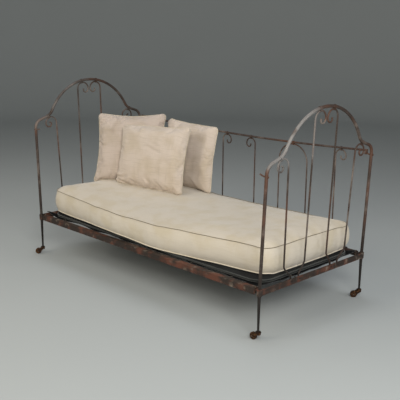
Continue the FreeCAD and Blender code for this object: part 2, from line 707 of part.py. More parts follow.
def make_bolt(name, end, side):
    """Corner bolt, from above."""
    seat = bolt_point(end, side) + Vector(0, 0, size("iron_wall") + size("seat_gap"))
    head = hexagon(name + "_head", Placement(seat, Rotation()), Height="Sizes.bolt_head_wall")
    shank = cylinder(name + "_shank", seat + Vector(0, 0, 1), Vector(0, 0, -1), WORLD,
                     Radius="Sizes.bolt_dia / 2", Height="Sizes.bolt_length + 1")
    return fused(name, [head, shank])


def make_nut(name, end, side):
    """Nut under the ear."""
    seat = EAR_TOP - size("ear_wall") - size("seat_gap") - size("nut_wall")
    low = Vector(bolt_point(end, side).x, side * BOLT_Y, seat)
    block = hexagon(name + "_block", Placement(low, Rotation()), Height="Sizes.nut_wall")
    bore = cylinder(name + "_bore", low - Vector(0, 0, 1), Vector(0, 0, 1), WORLD,
                    Radius="Sizes.bolt_dia / 2 + Sizes.running_fit", Height="Sizes.nut_wall + 2")
    return cut(name, block, [bore])


CORNERS = [(end_word, end_sign, side_word, side_sign)
           for end_word, end_sign in ENDS.items() for side_word, side_sign in SIDES.items()]
group("corner_bolts", [make_bolt(f"{ends}_{sides}_bolt", end, side) for ends, end, sides, side in CORNERS])
group("corner_nuts", [make_nut(f"{ends}_{sides}_nut", end, side) for ends, end, sides, side in CORNERS])


# ---------------------------------------------------------------- straps

def hull_face(first_r, second_r, between):
    """Face of the band round two circles, the first at the origin and the second along x."""
    lean = math.acos((first_r - second_r) / between)
    first = Vector(first_r * math.cos(lean), first_r * math.sin(lean), 0)
    second = Vector(between + second_r * math.cos(lean), second_r * math.sin(lean), 0)
    below = [Vector(point.x, -point.y, 0) for point in (first, second)]
    edges = [Part.LineSegment(below[0], below[1]).toShape(),
             Part.Arc(below[1], Vector(between + second_r, 0, 0), second).toShape(),
             Part.LineSegment(second, first).toShape(),
             Part.Arc(first, Vector(-first_r, 0, 0), below[0]).toShape()]
    return Part.Face(Part.Wire(edges))


def make_strap(name, middle, toward, place, first_r, second_r):
    """Strap round two bars that cross the xz plane: middle is in the first bar, towards the second."""
    between = first_r + second_r + size("rod_gap")
    play = size("strap_play")
    wall = play + size("strap_wall")
    outer = hull_face(first_r + wall, second_r + wall, between)
    inner = hull_face(first_r + play, second_r + play, between)
    section = add("Part::Feature", name + "_section")
    section.Shape = outer.cut(inner)
    band = add("Part::Extrusion", name, LengthFwd="Sizes.strap_width")
    band.Base = section
    band.DirMode = "Normal"
    band.Solid = True
    band.Symmetric = True
    square = Vector(0, 1, 0)
    turned = Rotation(toward, square, toward.cross(square), "XYZ")
    band.Placement = place.multiply(Placement(middle, turned))
    return band


def end_straps(end_word, end):
    """Straps that tie the four scrolls of an end to its arch."""
    straps = []
    for hand in (-1, 1):
        out = Vector(hand * math.sin(INNER_CONTACT), 0, math.cos(INNER_CONTACT))
        middle = Vector(0, 0, TOP_CENTRE_Z) + out * TOP_R
        straps.append((middle, out * -1))
        contact = angle("outer_contact_angle")
        out = Vector(-hand * math.sin(contact), 0, -math.cos(contact))
        middle = Vector(hand * HOLLOW_X, 0, HOLLOW_Z) + out * HOLLOW_R
        straps.append((middle, out))
    return [make_strap(f"{end_word}_strap_{number}", middle, toward, end_panel(end), POST_R, BALUSTER_R)
            for number, (middle, toward) in enumerate(straps)]


group("end_straps", end_straps("right", 1) + end_straps("left", -1))


# ---------------------------------------------------------------- back gallery

GALLERY = Placement(Vector(0, POST_Y, 0), Rotation())
RAIL_R = size("gallery_rail_dia") / 2
ROD_R = size("gallery_rod_dia") / 2
INNER_ROD_X = size("inner_rod_place")
OUTER_ROD_X = POST_X - size("outer_rod_gap")
SAG_END_X = LUG.x + size("rail_overrun") - size("rail_straight")
SAG_R = (SAG_END_X ** 2 + size("gallery_sag") ** 2) / (2 * size("gallery_sag"))
SAG_CENTRE_Z = GALLERY_END_Z - size("gallery_sag") + SAG_R
FOOT_BAR_TOP = RAIL_TOP + size("seat_gap") + size("foot_bar_wall")


def under_rail(x, radius):
    """Height of the centre of a round bend of the given radius that touches the rail from below."""
    reach = SAG_R + RAIL_R + size("rod_gap") + ROD_R + radius
    return SAG_CENTRE_Z - math.sqrt(reach ** 2 - x ** 2)


def make_gallery_rail():
    """Sagging top rail with a slotted lug under each end that hangs on a peg."""
    name = "gallery_rail"
    half = math.asin(SAG_END_X / SAG_R)
    straight = size("rail_straight")
    line = Path(-SAG_END_X - straight * math.cos(half), GALLERY_END_Z + straight * math.sin(half),
                -math.degrees(half))
    line.run(straight)
    line.bend(SAG_R, 2 * math.degrees(half))
    line.run(straight)
    parts = [rod(name, line, "gallery_rail_dia", GALLERY)]
    slots = []
    reach = size("lug_wall") / 2
    for word, end in ENDS.items():
        middle = Vector(end * LUG.x, 0, LUG.z)
        slope = math.pi - PEG_RISE - angle("end_lean_angle")
        along = Vector(end * math.cos(slope), 0, math.sin(slope))
        parts.append(cylinder(f"{name}_{word}_lug", middle - along * reach, along, GALLERY,
                              Radius="Sizes.lug_dia / 2", Height="Sizes.lug_wall"))
        slots.append(cylinder(f"{name}_{word}_bore", middle - along * (2 * reach), along, GALLERY,
                              Radius="Sizes.peg_dia / 2 + Sizes.lug_play", Height="2 * Sizes.lug_wall"))
        mouth = Vector(middle.x - size("lug_dia") / 2, -size("lug_mouth") / 2, middle.z - size("lug_dia"))
        slots.append(box(f"{name}_{word}_mouth", mouth, GALLERY, Length="Sizes.lug_dia",
                         Width="Sizes.lug_mouth", Height="Sizes.lug_dia"))
    piece(cut(name, fused(name + "_solid", parts), slots), name)


def tenon(name, x):
    """Tenon of a rod through the foot bar."""
    return cylinder(name, Vector(x, 0, FOOT_BAR_TOP + 2), Vector(0, 0, -1), GALLERY,
                    Radius="Sizes.tenon_dia / 2",
                    Height="Sizes.foot_bar_wall + 2")


def make_gallery_scroll(name, x, turn):
    """Upright rod with a scroll under the top rail, turning left (1) or right (-1)."""
    radius = size("gallery_scroll")
    centre_z = under_rail(x - turn * radius, radius)
    line = Path(x, FOOT_BAR_TOP + size("seat_gap"), 90)
    line.run(centre_z - FOOT_BAR_TOP - size("seat_gap"))
    for alias, degrees in (("gallery_scroll", 180), ("gallery_scroll_mid", 90), ("gallery_scroll_tip", 100)):
        line.bend(size(alias), turn * degrees)
    bar = rod(name, line, "gallery_rod_dia", GALLERY, ball=0.4)
    piece(fused(name, [bar, tenon(name + "_tenon", x)]), name)


def make_hoop(name, hand):
    """Upright hoop with both legs on the foot bar."""
    radius = size("hoop_radius")
    middle = hand * size("hoop_place")
    rise = under_rail(middle, radius) - FOOT_BAR_TOP - size("seat_gap")
    line = Path(middle - radius, FOOT_BAR_TOP + size("seat_gap"), 90)
    line.run(rise)
    line.bend(radius, -180)
    line.run(rise)
    bar = rod(name, line, "gallery_rod_dia", GALLERY)
    tenons = [tenon(f"{name}_tenon_{word}", middle + way * radius)
              for word, way in (("a", -1), ("b", 1))]
    piece(fused(name, [bar] + tenons), name)


def tenon_places():
    """Where the rods of the gallery stand on the foot bar."""
    hoops = [hand * size("hoop_place") + way * size("hoop_radius") for hand in (-1, 1) for way in (-1, 1)]
    uprights = [hand * place for hand in (-1, 1) for place in (INNER_ROD_X, OUTER_ROD_X)]
    return hoops + uprights


def make_foot_bar():
    """Flat bar that stands on the back rail, with two tabs that hook down behind it."""
    name = "gallery_foot_bar"
    bottom = RAIL_TOP + size("seat_gap")
    half = size("foot_bar_width") / 2
    parts = [box(name + "_bar", Vector(size("foot_bar_gap") - POST_X, -half, bottom), GALLERY,
                 Length="Sizes.frame_length - 2 * Sizes.foot_bar_gap", Width="Sizes.foot_bar_width",
                 Height="Sizes.foot_bar_wall")]
    tab_y = size("rail_offset") + size("seat_gap") * 3
    for word, hand in ENDS.items():
        low_x = hand * size("tab_place") - size("tab_width") / 2
        parts.append(box(f"{name}_{word}_tab", Vector(low_x, tab_y, bottom - size("tab_drop")), GALLERY,
                         Length="Sizes.tab_width", Width="Sizes.tab_wall",
                         Height="Sizes.tab_drop + Sizes.foot_bar_wall"))
    holes = [cylinder(f"{name}_hole_{number}", Vector(place, 0, bottom - 1), Vector(0, 0, 1), GALLERY,
                      Radius="(Sizes.tenon_dia + Sizes.rivet_play) / 2",
                      Height="Sizes.foot_bar_wall + 2")
             for number, place in enumerate(tenon_places())]
    piece(cut(name, fused(name + "_solid", parts), holes), name)


def gallery_straps():
    """Straps that tie the scrolls and hoops to the top rail."""
    places = [(hand * size("hoop_place")) for hand in (-1, 1)]
    places += [hand * (INNER_ROD_X - size("gallery_scroll")) for hand in (-1, 1)]
    places += [hand * (OUTER_ROD_X + size("gallery_scroll")) for hand in (-1, 1)]
    straps = []
    for number, x in enumerate(places):
        tilt = math.asin(x / SAG_R)
        down = Vector(math.sin(tilt), 0, -math.cos(tilt))
        middle = Vector(0, 0, SAG_CENTRE_Z) + down * SAG_R
        straps.append(make_strap(f"gallery_strap_{number}", middle, down, GALLERY, RAIL_R, ROD_R))
    return straps


make_gallery_rail()
make_foot_bar()
for side_word, hand_sign in ENDS.items():
    make_hoop(f"gallery_hoop_{side_word}", hand_sign)
    make_gallery_scroll(f"gallery_scroll_inner_{side_word}", hand_sign * INNER_ROD_X, hand_sign)
    make_gallery_scroll(f"gallery_scroll_outer_{side_word}", hand_sign * OUTER_ROD_X, -hand_sign)
group("gallery_straps", gallery_straps())


# ---------------------------------------------------------------- castors

TRAIL_ANGLES = {"front_left": 225, "back_left": 135, "front_right": 180, "back_right": 225}
AXLE_Z = size("wheel_dia") / 2


def make_wheel(name, place):
    """Solid wheel with rounded edges and a bore."""
    body = DOC.addObject("PartDesign::Body", name + "_body")
    half = "Sizes.wheel_width / 2"
    bore = "Sizes.axle_dia / 2 + Sizes.running_fit"
    sketch = bound_sketch(body, "XZ_Plane", [
        (bore, f"-{half}"), ("Sizes.wheel_dia / 2 - Sizes.wheel_edge", f"-{half}"),
        ("Sizes.wheel_dia / 2", f"-{half} + Sizes.wheel_edge"),
        ("Sizes.wheel_dia / 2", f"{half} - Sizes.wheel_edge"),
        ("Sizes.wheel_dia / 2 - Sizes.wheel_edge", half), (bore, half)])
    turned = body.newObject("PartDesign::Revolution", name + "_turned")
    turned.Profile = sketch
    turned.ReferenceAxis = (sketch, ["V_Axis"])
    turned.Angle = 360
    body.Tip = turned
    axle = Placement(Vector(size("castor_trail"), 0, AXLE_Z), Rotation(Vector(1, 0, 0), 90))
    body.Placement = place.multiply(axle)
    piece(body, name)


def make_horn(name, place):
    """Crown, stem and two cheeks of a castor."""
    crown_top = size("castor_height") - size("crown_gap")
    crown_low = crown_top - size("crown_wall")
    inner = size("wheel_width") / 2 + size("cheek_gap")
    parts = [cylinder(name + "_crown", Vector(0, 0, crown_low), Vector(0, 0, 1), place,
                      Radius="Sizes.crown_dia / 2", Height="Sizes.crown_wall"),
             cylinder(name + "_stem", Vector(0, 0, crown_low), Vector(0, 0, 1), place,
                      Radius="Sizes.stem_dia / 2", Height="Sizes.stem_length + Sizes.crown_wall")]
    top = Vector(0, 0, crown_top - size("cheek_top_radius"))
    axle = Vector(size("castor_trail"), 0, AXLE_Z)
    reach = axle - top
    holes = []
    for word, low_y in (("near", -inner - size("cheek_wall")), ("far", inner)):
        section = add("Part::Feature", f"{name}_{word}_section")
        section.Shape = hull_face(size("cheek_top_radius"), size("axle_boss") / 2, reach.Length)
        cheek = add("Part::Extrusion", f"{name}_{word}_cheek", LengthFwd="Sizes.cheek_wall")
        cheek.Base = section
        cheek.DirMode = "Normal"
        cheek.Solid = True
        aim = Vector(reach).normalize()
        turned = Rotation(aim, Vector(0, 1, 0).cross(aim), Vector(0, 1, 0), "XZY")
        cheek.Placement = place.multiply(Placement(Vector(top.x, low_y, top.z), turned))
        parts.append(cheek)
    holes.append(cylinder(name + "_axle_hole", Vector(axle.x, -size("crown_dia"), axle.z),
                          Vector(0, 1, 0), place, Radius="Sizes.axle_dia / 2 + Sizes.running_fit",
                          Height="2 * Sizes.crown_dia"))
    piece(cut(name, fused(name + "_solid", parts), holes), name)


def make_axle(name, place):
    """Axle pin with a head outside each cheek."""
    half = size("wheel_width") / 2 + size("cheek_gap") + size("cheek_wall") + size("seat_gap")
    length = "Sizes.wheel_width + 2 * (Sizes.cheek_gap + Sizes.cheek_wall + Sizes.seat_gap)"
    pin = cylinder(name + "_pin", Vector(size("castor_trail"), -half, AXLE_Z), Vector(0, 1, 0), place,
                   Radius="Sizes.axle_dia / 2", Height=length)
    heads = [cylinder(f"{name}_head_{word}", Vector(size("castor_trail"), way * half, AXLE_Z),
                      Vector(0, way, 0), place, Radius="Sizes.axle_head / 2",
                      Height="Sizes.axle_head_wall")
             for word, way in (("near", -1), ("far", 1))]
    piece(fused(name, [pin] + heads), name)


for end_word, end_sign, side_word, side_sign in CORNERS:
    corner = f"{side_word}_{end_word}"
    stance = Placement(Vector(end_sign * POST_X, side_sign * POST_Y, 0),
                       Rotation(Vector(0, 0, 1), TRAIL_ANGLES[corner]))
    make_horn(f"{corner}_castor_horn", stance)
    make_wheel(f"{corner}_castor_wheel", stance)
    make_axle(f"{corner}_castor_axle", stance)


# ---------------------------------------------------------------- sling and hooks

SLING_TOP = RAIL_TOP - size("sling_drop")
SLING_END_X = POST_X - size("sling_end_inset")
SLING_CORNER_X = POST_X - size("sling_corner_inset")
EYELET_Y = SLING_TIP_Y - size("eyelet_inset")
EYELET_X = SLING_END_X - size("eyelet_inset")


def scallop(begin, end, depth, width):
    """Arc between two tips, hollowed towards the middle in step with its width."""
    across_tips = end - begin
    middle = (begin + end) * 0.5
    inward = Vector(-across_tips.y, across_tips.x, 0).normalize()
    share = min(1.0, (across_tips.Length / width) ** 2)
    return Part.Arc(begin, middle + inward * (depth * share), end).toShape()


def sling_edges():
    """Outline of the sling, anticlockwise from the front left corner."""
    long_tips = [Vector(x, -SLING_TIP_Y, 0) for x in HOOK_XS]
    front = [Vector(-SLING_CORNER_X, -SLING_TIP_Y, 0)] + long_tips + [Vector(SLING_CORNER_X, -SLING_TIP_Y, 0)]
    right = [Vector(SLING_END_X, way * size("end_hook_place"), 0) for way in (-1, 1)]
    half = front + right
    tips = half + [point * -1 for point in half]
    edges = []
    for number, begin in enumerate(tips):
        end = tips[(number + 1) % len(tips)]
        is_long = abs(end.y - begin.y) < 1
        depth = size("scallop_depth") if is_long else size("end_scallop_depth")
        width = size("hook_pitch") if is_long else 2 * size("end_hook_place")
        edges.append(scallop(begin, end, depth, width))
    return edges


def make_sling():
    """Canvas with scalloped edges and an eyelet at every hooked tip."""
    name = "sling"
    outline = add("Part::Feature", name + "_outline")
    outline.Shape = Part.Face(Part.Wire(sling_edges()))
    sheet = add("Part::Extrusion", name + "_sheet", LengthFwd="Sizes.sling_wall")
    sheet.Base = outline
    sheet.DirMode = "Normal"
    sheet.Solid = True
    sheet.Placement = Placement(Vector(0, 0, SLING_TOP - size("sling_wall")), Rotation())
    places = [Vector(x, side * EYELET_Y, 0) for x in HOOK_XS for side in (-1, 1)]
    places += [Vector(end * EYELET_X, way * size("end_hook_place"), 0)
               for end in (-1, 1) for way in (-1, 1)]
    holes = [cylinder(f"{name}_eyelet_{number}", place + Vector(0, 0, SLING_TOP + 1), Vector(0, 0, -1),
                      WORLD, Radius="(Sizes.hook_wire + Sizes.hook_play) / 2",
                      Height="Sizes.sling_wall + 2")
             for number, place in enumerate(places)]
    piece(cut(name, sheet, holes), name)


def make_hook(name, place, outer, bridge_z, outer_low):
    """Wire hook: down on the outer side, over, and down through the sling with an inward toe."""
    inner_low = SLING_TOP - size("sling_wall") - size("hook_drop")
    line = corner_path([(outer, outer_low), (outer, bridge_z), (0, bridge_z), (0, inner_low),
                        (-size("hook_toe"), inner_low)], size("hook_bend"))
    return rod(name, line, "hook_wire", place)


def sling_hooks():
    """All the hooks of the sling."""
    bridge_z = RAIL_TOP + size("hook_wire") / 2 + size("soft_gap")
    hooks = []
    for side_word, side in SIDES.items():
        for number, x in enumerate(HOOK_XS):
            place = Placement(Vector(x, side * EYELET_Y, 0), Rotation(Vector(0, 0, 1), side * 90))
            hooks.append(make_hook(f"{side_word}_hook_{number}", place, HOOK_Y - EYELET_Y, bridge_z,
                                   FLANGE_BOTTOM - size("hook_drop")))
    bar_outer = POST_X - BAR_INNER_Y + size("bar_wall") + size("hook_wire") / 2 + 2 * size("soft_gap")
    for end_word, end in ENDS.items():
        for number, way in enumerate((-1, 1)):
            place = Placement(Vector(end * EYELET_X, way * size("end_hook_place"), 0),
                              Rotation(Vector(0, 0, 1), 0 if end > 0 else 180))
            lean_room = (RAIL_TOP - KNEE_Z) * math.tan(angle("end_lean_angle"))
            hooks.append(make_hook(f"{end_word}_hook_{number}", place, bar_outer + lean_room - EYELET_X,
                                   bridge_z + size("soft_gap"), RAIL_TOP - 4 * size("hook_drop")))
    return hooks


make_sling()
group("sling_hooks", sling_hooks())


# ---------------------------------------------------------------- soft pieces

def rounded_wire(corners, z):
    """Closed outline through corners (x, y, radius), with every corner rounded."""
    count = len(corners)
    edges = []
    last = None
    first = None
    for number in range(count):
        (px, py, _), (x, y, radius), (nx, ny, _) = (corners[(number + shift) % count] for shift in (-1, 0, 1))
        back = Vector(px - x, py - y, 0).normalize()
        on = Vector(nx - x, ny - y, 0).normalize()
        half = math.acos(max(-1, min(1, back.dot(on)))) / 2
        reach = radius / math.tan(half)
        corner = Vector(x, y, z)
        centre = corner + (back + on).normalize() * (radius / math.sin(half))
        begin = corner + back * reach
        end = corner + on * reach
        middle = centre + (corner - centre).normalize() * radius
        if last is not None:
            edges.append(Part.LineSegment(last, begin).toShape())
        else:
            first = begin
        edges.append(Part.Arc(begin, middle, end).toShape())
        last = end
    edges.append(Part.LineSegment(last, first).toShape())
    return Part.Wire(edges)


def stacked(name, layers, place):
    """Solid through closed outlines, given as (corners, z) from bottom to top."""
    sections = []
    for number, (corners, z) in enumerate(layers):
        section = add("Part::Feature", f"{name}_layer_{number}")
        section.Shape = rounded_wire(corners, z)
        sections.append(section)
    solid = add("Part::Loft", name)
    solid.Sections = sections
    solid.Solid = True
    solid.Ruled = True
    solid.Placement = place
    return piece(solid, name)


def inset(corners, amount):
    """The same outline, smaller by an amount on every side."""
    reach_x = max(abs(x) for x, _, _ in corners)
    reach_y = max(abs(y) for _, y, _ in corners)
    return [(x * (1 - amount / reach_x), y * (1 - amount / reach_y), max(radius - amount / 2, radius / 4))
            for x, y, radius in corners]


PAD_LOW = SLING_TOP + size("soft_gap")
MATTRESS_LOW = PAD_LOW + size("pad_wall") + size("soft_gap")
BAND_TOP = MATTRESS_LOW + size("mattress_band")


def make_pad():
    """Thin under-pad with a rolled edge."""
    corner = size("pad_corner_radius")
    left, right = size("pad_left_gap") - POST_X, POST_X - size("pad_right_gap")
    front, back = size("pad_front_gap") - POST_Y, POST_Y - size("pad_back_gap")
    outline = [(left, front, corner), (right, front, corner), (right, back, corner), (left, back, corner)]
    wall = size("pad_wall")
    roll = wall / 4
    stacked("under_pad", [(inset(outline, roll), PAD_LOW), (outline, PAD_LOW + roll),
                          (outline, PAD_LOW + wall - roll), (inset(outline, roll), PAD_LOW + wall)], WORLD)


def make_mattress():
    """Mattress with a bowed front, a bulging band and a crowned top."""
    corner = size("mattress_corner_radius")
    left, right = size("mattress_left_gap") - POST_X, POST_X - size("mattress_right_gap")
    front, back = size("mattress_front_gap") - POST_Y, POST_Y - size("mattress_back_gap")
    bow = size("mattress_bow")
    taper = size("mattress_taper")
    long_bend = 6 * corner
    outline = [(left, front, corner), (left / 5, front - bow, long_bend),
               (right / 2, front + taper / 2 - bow / 3, long_bend), (right, front + taper, corner),
               (right, back, size("mattress_back_radius")), (left, back, size("mattress_back_radius"))]
    crown = size("mattress_crown")
    band = size("mattress_band")
    bulge = size("mattress_bulge")
    sides = [(1.5, 0), (0.75, 0.09), (0.2, 0.27), (0, 0.5), (0.2, 0.73), (0.65, 0.91), (1, 1)]
    layers = [(inset(outline, bulge * share), MATTRESS_LOW + band * up) for share, up in sides]
    layers += [(inset(outline, bulge + crown * share), BAND_TOP + crown * up)
               for share, up in ((1, 0.55), (3, 0.9), (7.5, 1))]
    stacked("mattress", layers, WORLD)


def pillow_layers(width, height):
    """Layers of a cushion, from its back face to its front face."""
    corner = size("cushion_corner_radius")
    waist = size("cushion_waist")
    half_x, half_y = width / 2, height / 2
    outline = [(-half_x, -half_y, corner), (0, -half_y + waist, 6 * corner), (half_x, -half_y, corner),
               (half_x - waist, 0, 6 * corner), (half_x, half_y, corner), (0, half_y - waist, 6 * corner),
               (-half_x, half_y, corner), (-half_x + waist, 0, 6 * corner)]
    rim = size("cushion_edge") / 2
    steps = [(0, 0), (0.04, 0.24), (0.13, 0.5), (0.28, 0.74), (0.48, 0.92), (0.72, 1)]
    front = [(inset(outline, share * half_x), rim + (size("cushion_belly") - rim) * up)
             for share, up in steps]
    back = [(inset(outline, share * half_x), -rim - (size("cushion_back") - rim) * up)
            for share, up in reversed(steps)]
    return back + front


def make_cushion(name, stem, middle_y):
    """Cushion that stands on the mattress, turned by its yaw and leaning back."""
    facing = Rotation(Vector(0, 0, 1), size(stem + "_yaw") + 90)
    upright = Rotation(Vector(1, 0, 0), 90 - size(stem + "_lean"))
    rise = size(stem + "_height") / 2 * math.cos(angle(stem + "_lean"))
    crown_top = BAND_TOP + size("mattress_crown")
    middle = Vector(size(stem + "_along") - POST_X, middle_y, crown_top + size(stem + "_settle") + rise)
    stacked(name, pillow_layers(size(stem + "_width"), size(stem + "_height")),
            Placement(middle, facing.multiply(upright)))


make_pad()
make_mattress()
make_cushion("left_back_cushion", "left_cushion", POST_Y - size("left_cushion_forward"))
make_cushion("right_back_cushion", "right_cushion",
             POST_Y - ROD_R - size("right_cushion_forward") - size("cushion_back"))
make_cushion("front_cushion", "front_cushion", POST_Y - size("front_cushion_forward"))


# ---------------------------------------------------------------- checks and files

def check_and_write():
    """Stop on any failed object, then write one STEP file for each sub-part."""
    DOC.recompute()
    for thing in DOC.Objects:
        faults = [word for word in thing.State if word in ("Invalid", "Error")]
        if faults:
            raise RuntimeError(f"{thing.Name} is {faults}")
    os.makedirs("parts", exist_ok=True)
    for thing in PIECES:
        shape = thing.Shape
        if shape.isNull() or not shape.isValid() or not shape.Solids:
            raise RuntimeError(f"{thing.Label} has no valid shape")
        print(f"{thing.Label}: {len(shape.Solids)} solids, {shape.Volume:.0f} mm3")
        shape.exportStep(f"parts/{thing.Label}.step")
    print(f"{len(PIECES)} sub-parts")


check_and_write()
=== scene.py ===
"""Dresses the wrought iron daybed: its iron finishes, canvas, under-pad, mattress and loose cushions."""

import json
import logging
import math
from dataclasses import dataclass
from enum import Enum
from functools import cache

import bpy
import numpy as np
from mathutils import Matrix, Vector
from mathutils.bvhtree import BVHTree


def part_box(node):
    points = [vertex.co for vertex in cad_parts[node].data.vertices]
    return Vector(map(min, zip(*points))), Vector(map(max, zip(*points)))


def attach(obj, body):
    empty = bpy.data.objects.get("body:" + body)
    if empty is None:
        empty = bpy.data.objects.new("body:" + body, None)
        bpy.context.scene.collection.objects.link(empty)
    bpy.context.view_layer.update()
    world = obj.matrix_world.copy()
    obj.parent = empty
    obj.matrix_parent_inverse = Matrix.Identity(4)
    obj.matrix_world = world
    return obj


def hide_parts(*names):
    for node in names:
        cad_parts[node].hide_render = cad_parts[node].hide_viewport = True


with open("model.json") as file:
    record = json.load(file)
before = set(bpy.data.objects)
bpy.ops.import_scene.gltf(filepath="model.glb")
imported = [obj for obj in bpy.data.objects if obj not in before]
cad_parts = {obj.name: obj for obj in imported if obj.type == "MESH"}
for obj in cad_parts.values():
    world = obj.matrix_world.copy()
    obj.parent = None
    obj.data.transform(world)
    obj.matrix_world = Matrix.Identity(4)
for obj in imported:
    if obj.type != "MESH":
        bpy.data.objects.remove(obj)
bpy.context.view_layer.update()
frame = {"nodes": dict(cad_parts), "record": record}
LOG = logging.getLogger("daybed")
MM = 0.001
ONE_WAVE = 0.3183  # scale that gives a wave texture one wave to a unit, about 1 / pi
CORNER_WAYS = ((-1, -1), (1, -1), (1, 1), (-1, 1))  # anticlockwise from the front left
ABOVE_ALL = 1.2  # a height in metres over the mattress and the cushions
LOW_CLOTH_SHIFT = 3.0  # metres that keep the bottom panel's weave off the top panel's


# ---------------------------------------------------------------- small helpers

def linear(code: str) -> tuple[float, float, float, float]:
    """Turns an sRGB hex colour into linear light.

    Args:
        code: colour as "#rrggbb".

    Returns:
        Red, green, blue and alpha.
    """
    parts = [int(code[place:place + 2], 16) / 255 for place in (1, 3, 5)]
    red, green, blue = (part / 12.92 if part <= 0.04045 else ((part + 0.055) / 1.055) ** 2.4
                        for part in parts)
    return red, green, blue, 1.0


def add_node(tree: bpy.types.NodeTree, kind: str, settings: dict | None = None,
             links: dict | None = None) -> bpy.types.Node:
    """Adds one node with its settings and links.

    Args:
        tree: node tree that gets the node.
        kind: the node's type name.
        settings: values by property name or by input name or number.
        links: what feeds each input, a node (its first output) or a socket.

    Returns:
        The new node.
    """
    node = tree.nodes.new(kind)
    for name, value in (settings or {}).items():
        if isinstance(name, str) and hasattr(node, name):
            setattr(node, name, value)
        else:
            node.inputs[name].default_value = value
    for name, source in (links or {}).items():
        socket = source.outputs[0] if isinstance(source, bpy.types.Node) else source
        tree.links.new(socket, node.inputs[name])
    return node


def smooth(value: np.ndarray) -> np.ndarray:
    """Eases a 0 to 1 value in and out."""
    value = np.clip(value, 0.0, 1.0)
    return value * value * (3 - 2 * value)


def bell(distance: np.ndarray, width: float) -> np.ndarray:
    """A bell curve: 1 at no distance, about a third at one width."""
    return np.exp(-(distance / width) ** 2)


def upward(rise: float) -> np.ndarray:
    """A step straight up, in metres."""
    return np.array([0, 0, rise])


def laid_flat(flat: np.ndarray) -> np.ndarray:
    """Points (x, y) as points (x, y, 0)."""
    return np.column_stack([flat, np.zeros(len(flat))])


def put_in_scene(name: str, data: bpy.types.ID) -> bpy.types.Object:
    """Makes an object for a mesh, a light or a camera and links it to the scene.

    Args:
        name: the object's name.
        data: what it holds.

    Returns:
        The object.
    """
    holder = bpy.data.objects.new(name, data)
    bpy.context.scene.collection.objects.link(holder)
    return holder


class Waves:
    """Soft seeded noise for cloth: a sum of sine waves in random directions."""

    def __init__(self, seed: int, pitch: float, count: int = 14) -> None:
        """Draws the waves.

        Args:
            seed: fixed seed.
            pitch: typical distance between two crests, in metres.
            count: number of waves.
        """
        source = np.random.default_rng(seed)
        ways = source.normal(size=(count, 3))
        ways /= np.linalg.norm(ways, axis=1)[:, None]
        self.ways = ways * (2 * math.pi / (pitch * source.uniform(0.7, 1.6, count)))[:, None]
        self.phases = source.uniform(0, 2 * math.pi, count)

    def at(self, points: np.ndarray) -> np.ndarray:
        """Height of the noise, about -1 to 1, at each point."""
        return np.sin(points @ self.ways.T + self.phases).sum(axis=1) / math.sqrt(len(self.phases)) / 1.4


# ---------------------------------------------------------------- finishes

class Grain(Enum):
    """Where a pattern lies: along the piece's own cloth, or fixed in the object."""

    CLOTH = "UVMap"
    OBJECT = "Object"


class Finish:
    """Shared start of every material."""

    def begin(self, name: str) -> tuple[bpy.types.Material, bpy.types.NodeTree, bpy.types.Node]:
        """Makes an empty material.

        Args:
            name: the material's name.

        Returns:
            The material, its tree and its Principled shader.
        """
        material = bpy.data.materials.new(name)
        material.use_nodes = True
        tree = material.node_tree
        tree.nodes.clear()
        shader = add_node(tree, "ShaderNodeBsdfPrincipled")
        add_node(tree, "ShaderNodeOutputMaterial", links={"Surface": shader})
        return material, tree, shader

    def place(self, tree: bpy.types.NodeTree, grain: Grain) -> bpy.types.NodeSocket:
        """Gives the coordinates, in metres."""
        if grain is Grain.CLOTH:
            return add_node(tree, "ShaderNodeUVMap", {"uv_map": "Weave"}).outputs["UV"]
        return add_node(tree, "ShaderNodeTexCoord").outputs["Object"]

    def cells(self, tree: bpy.types.NodeTree, place: bpy.types.NodeSocket,
              size_mm: tuple[float, float, float], detail: float = 3.0) -> bpy.types.Node:
        """Noise whose lumps have a size in millimetres.

        Args:
            tree: the material's tree.
            place: coordinates in metres.
            size_mm: size of a lump along each axis.
            detail: finer layers on top.

        Returns:
            The noise node.
        """
        mapping = add_node(tree, "ShaderNodeMapping", {"Scale": tuple(1 / (one * MM) for one in size_mm)},
                           {"Vector": place})
        return add_node(tree, "ShaderNodeTexNoise", {"Scale": 1.0, "Detail": detail}, {"Vector": mapping})

    def ramp(self, tree: bpy.types.NodeTree, source: bpy.types.Node | bpy.types.NodeSocket, low: float,
             high: float) -> bpy.types.Node:
        """Eases a value from 0 at one level to 1 at the other."""
        return add_node(tree, "ShaderNodeMapRange", {"interpolation_type": "SMOOTHSTEP", "From Min": low,
                                                     "From Max": high}, {"Value": source})

    def blend(self, tree: bpy.types.NodeTree, share: bpy.types.Node, one: object, two: object,
              kind: str = "MIX") -> bpy.types.NodeSocket:
        """Mixes two colours.

        Args:
            tree: the material's tree.
            share: node that says how much of the second colour shows.
            one: first colour, as a hex code or a socket.
            two: second colour, as a hex code or a socket.
            kind: how they mix.

        Returns:
            The mixed colour.
        """
        node = add_node(tree, "ShaderNodeMix", {"data_type": "RGBA", "blend_type": kind}, {0: share})
        for number, colour in ((6, one), (7, two)):
            if isinstance(colour, str):
                node.inputs[number].default_value = linear(colour)
            else:
                tree.links.new(colour, node.inputs[number])
        return node.outputs[2]


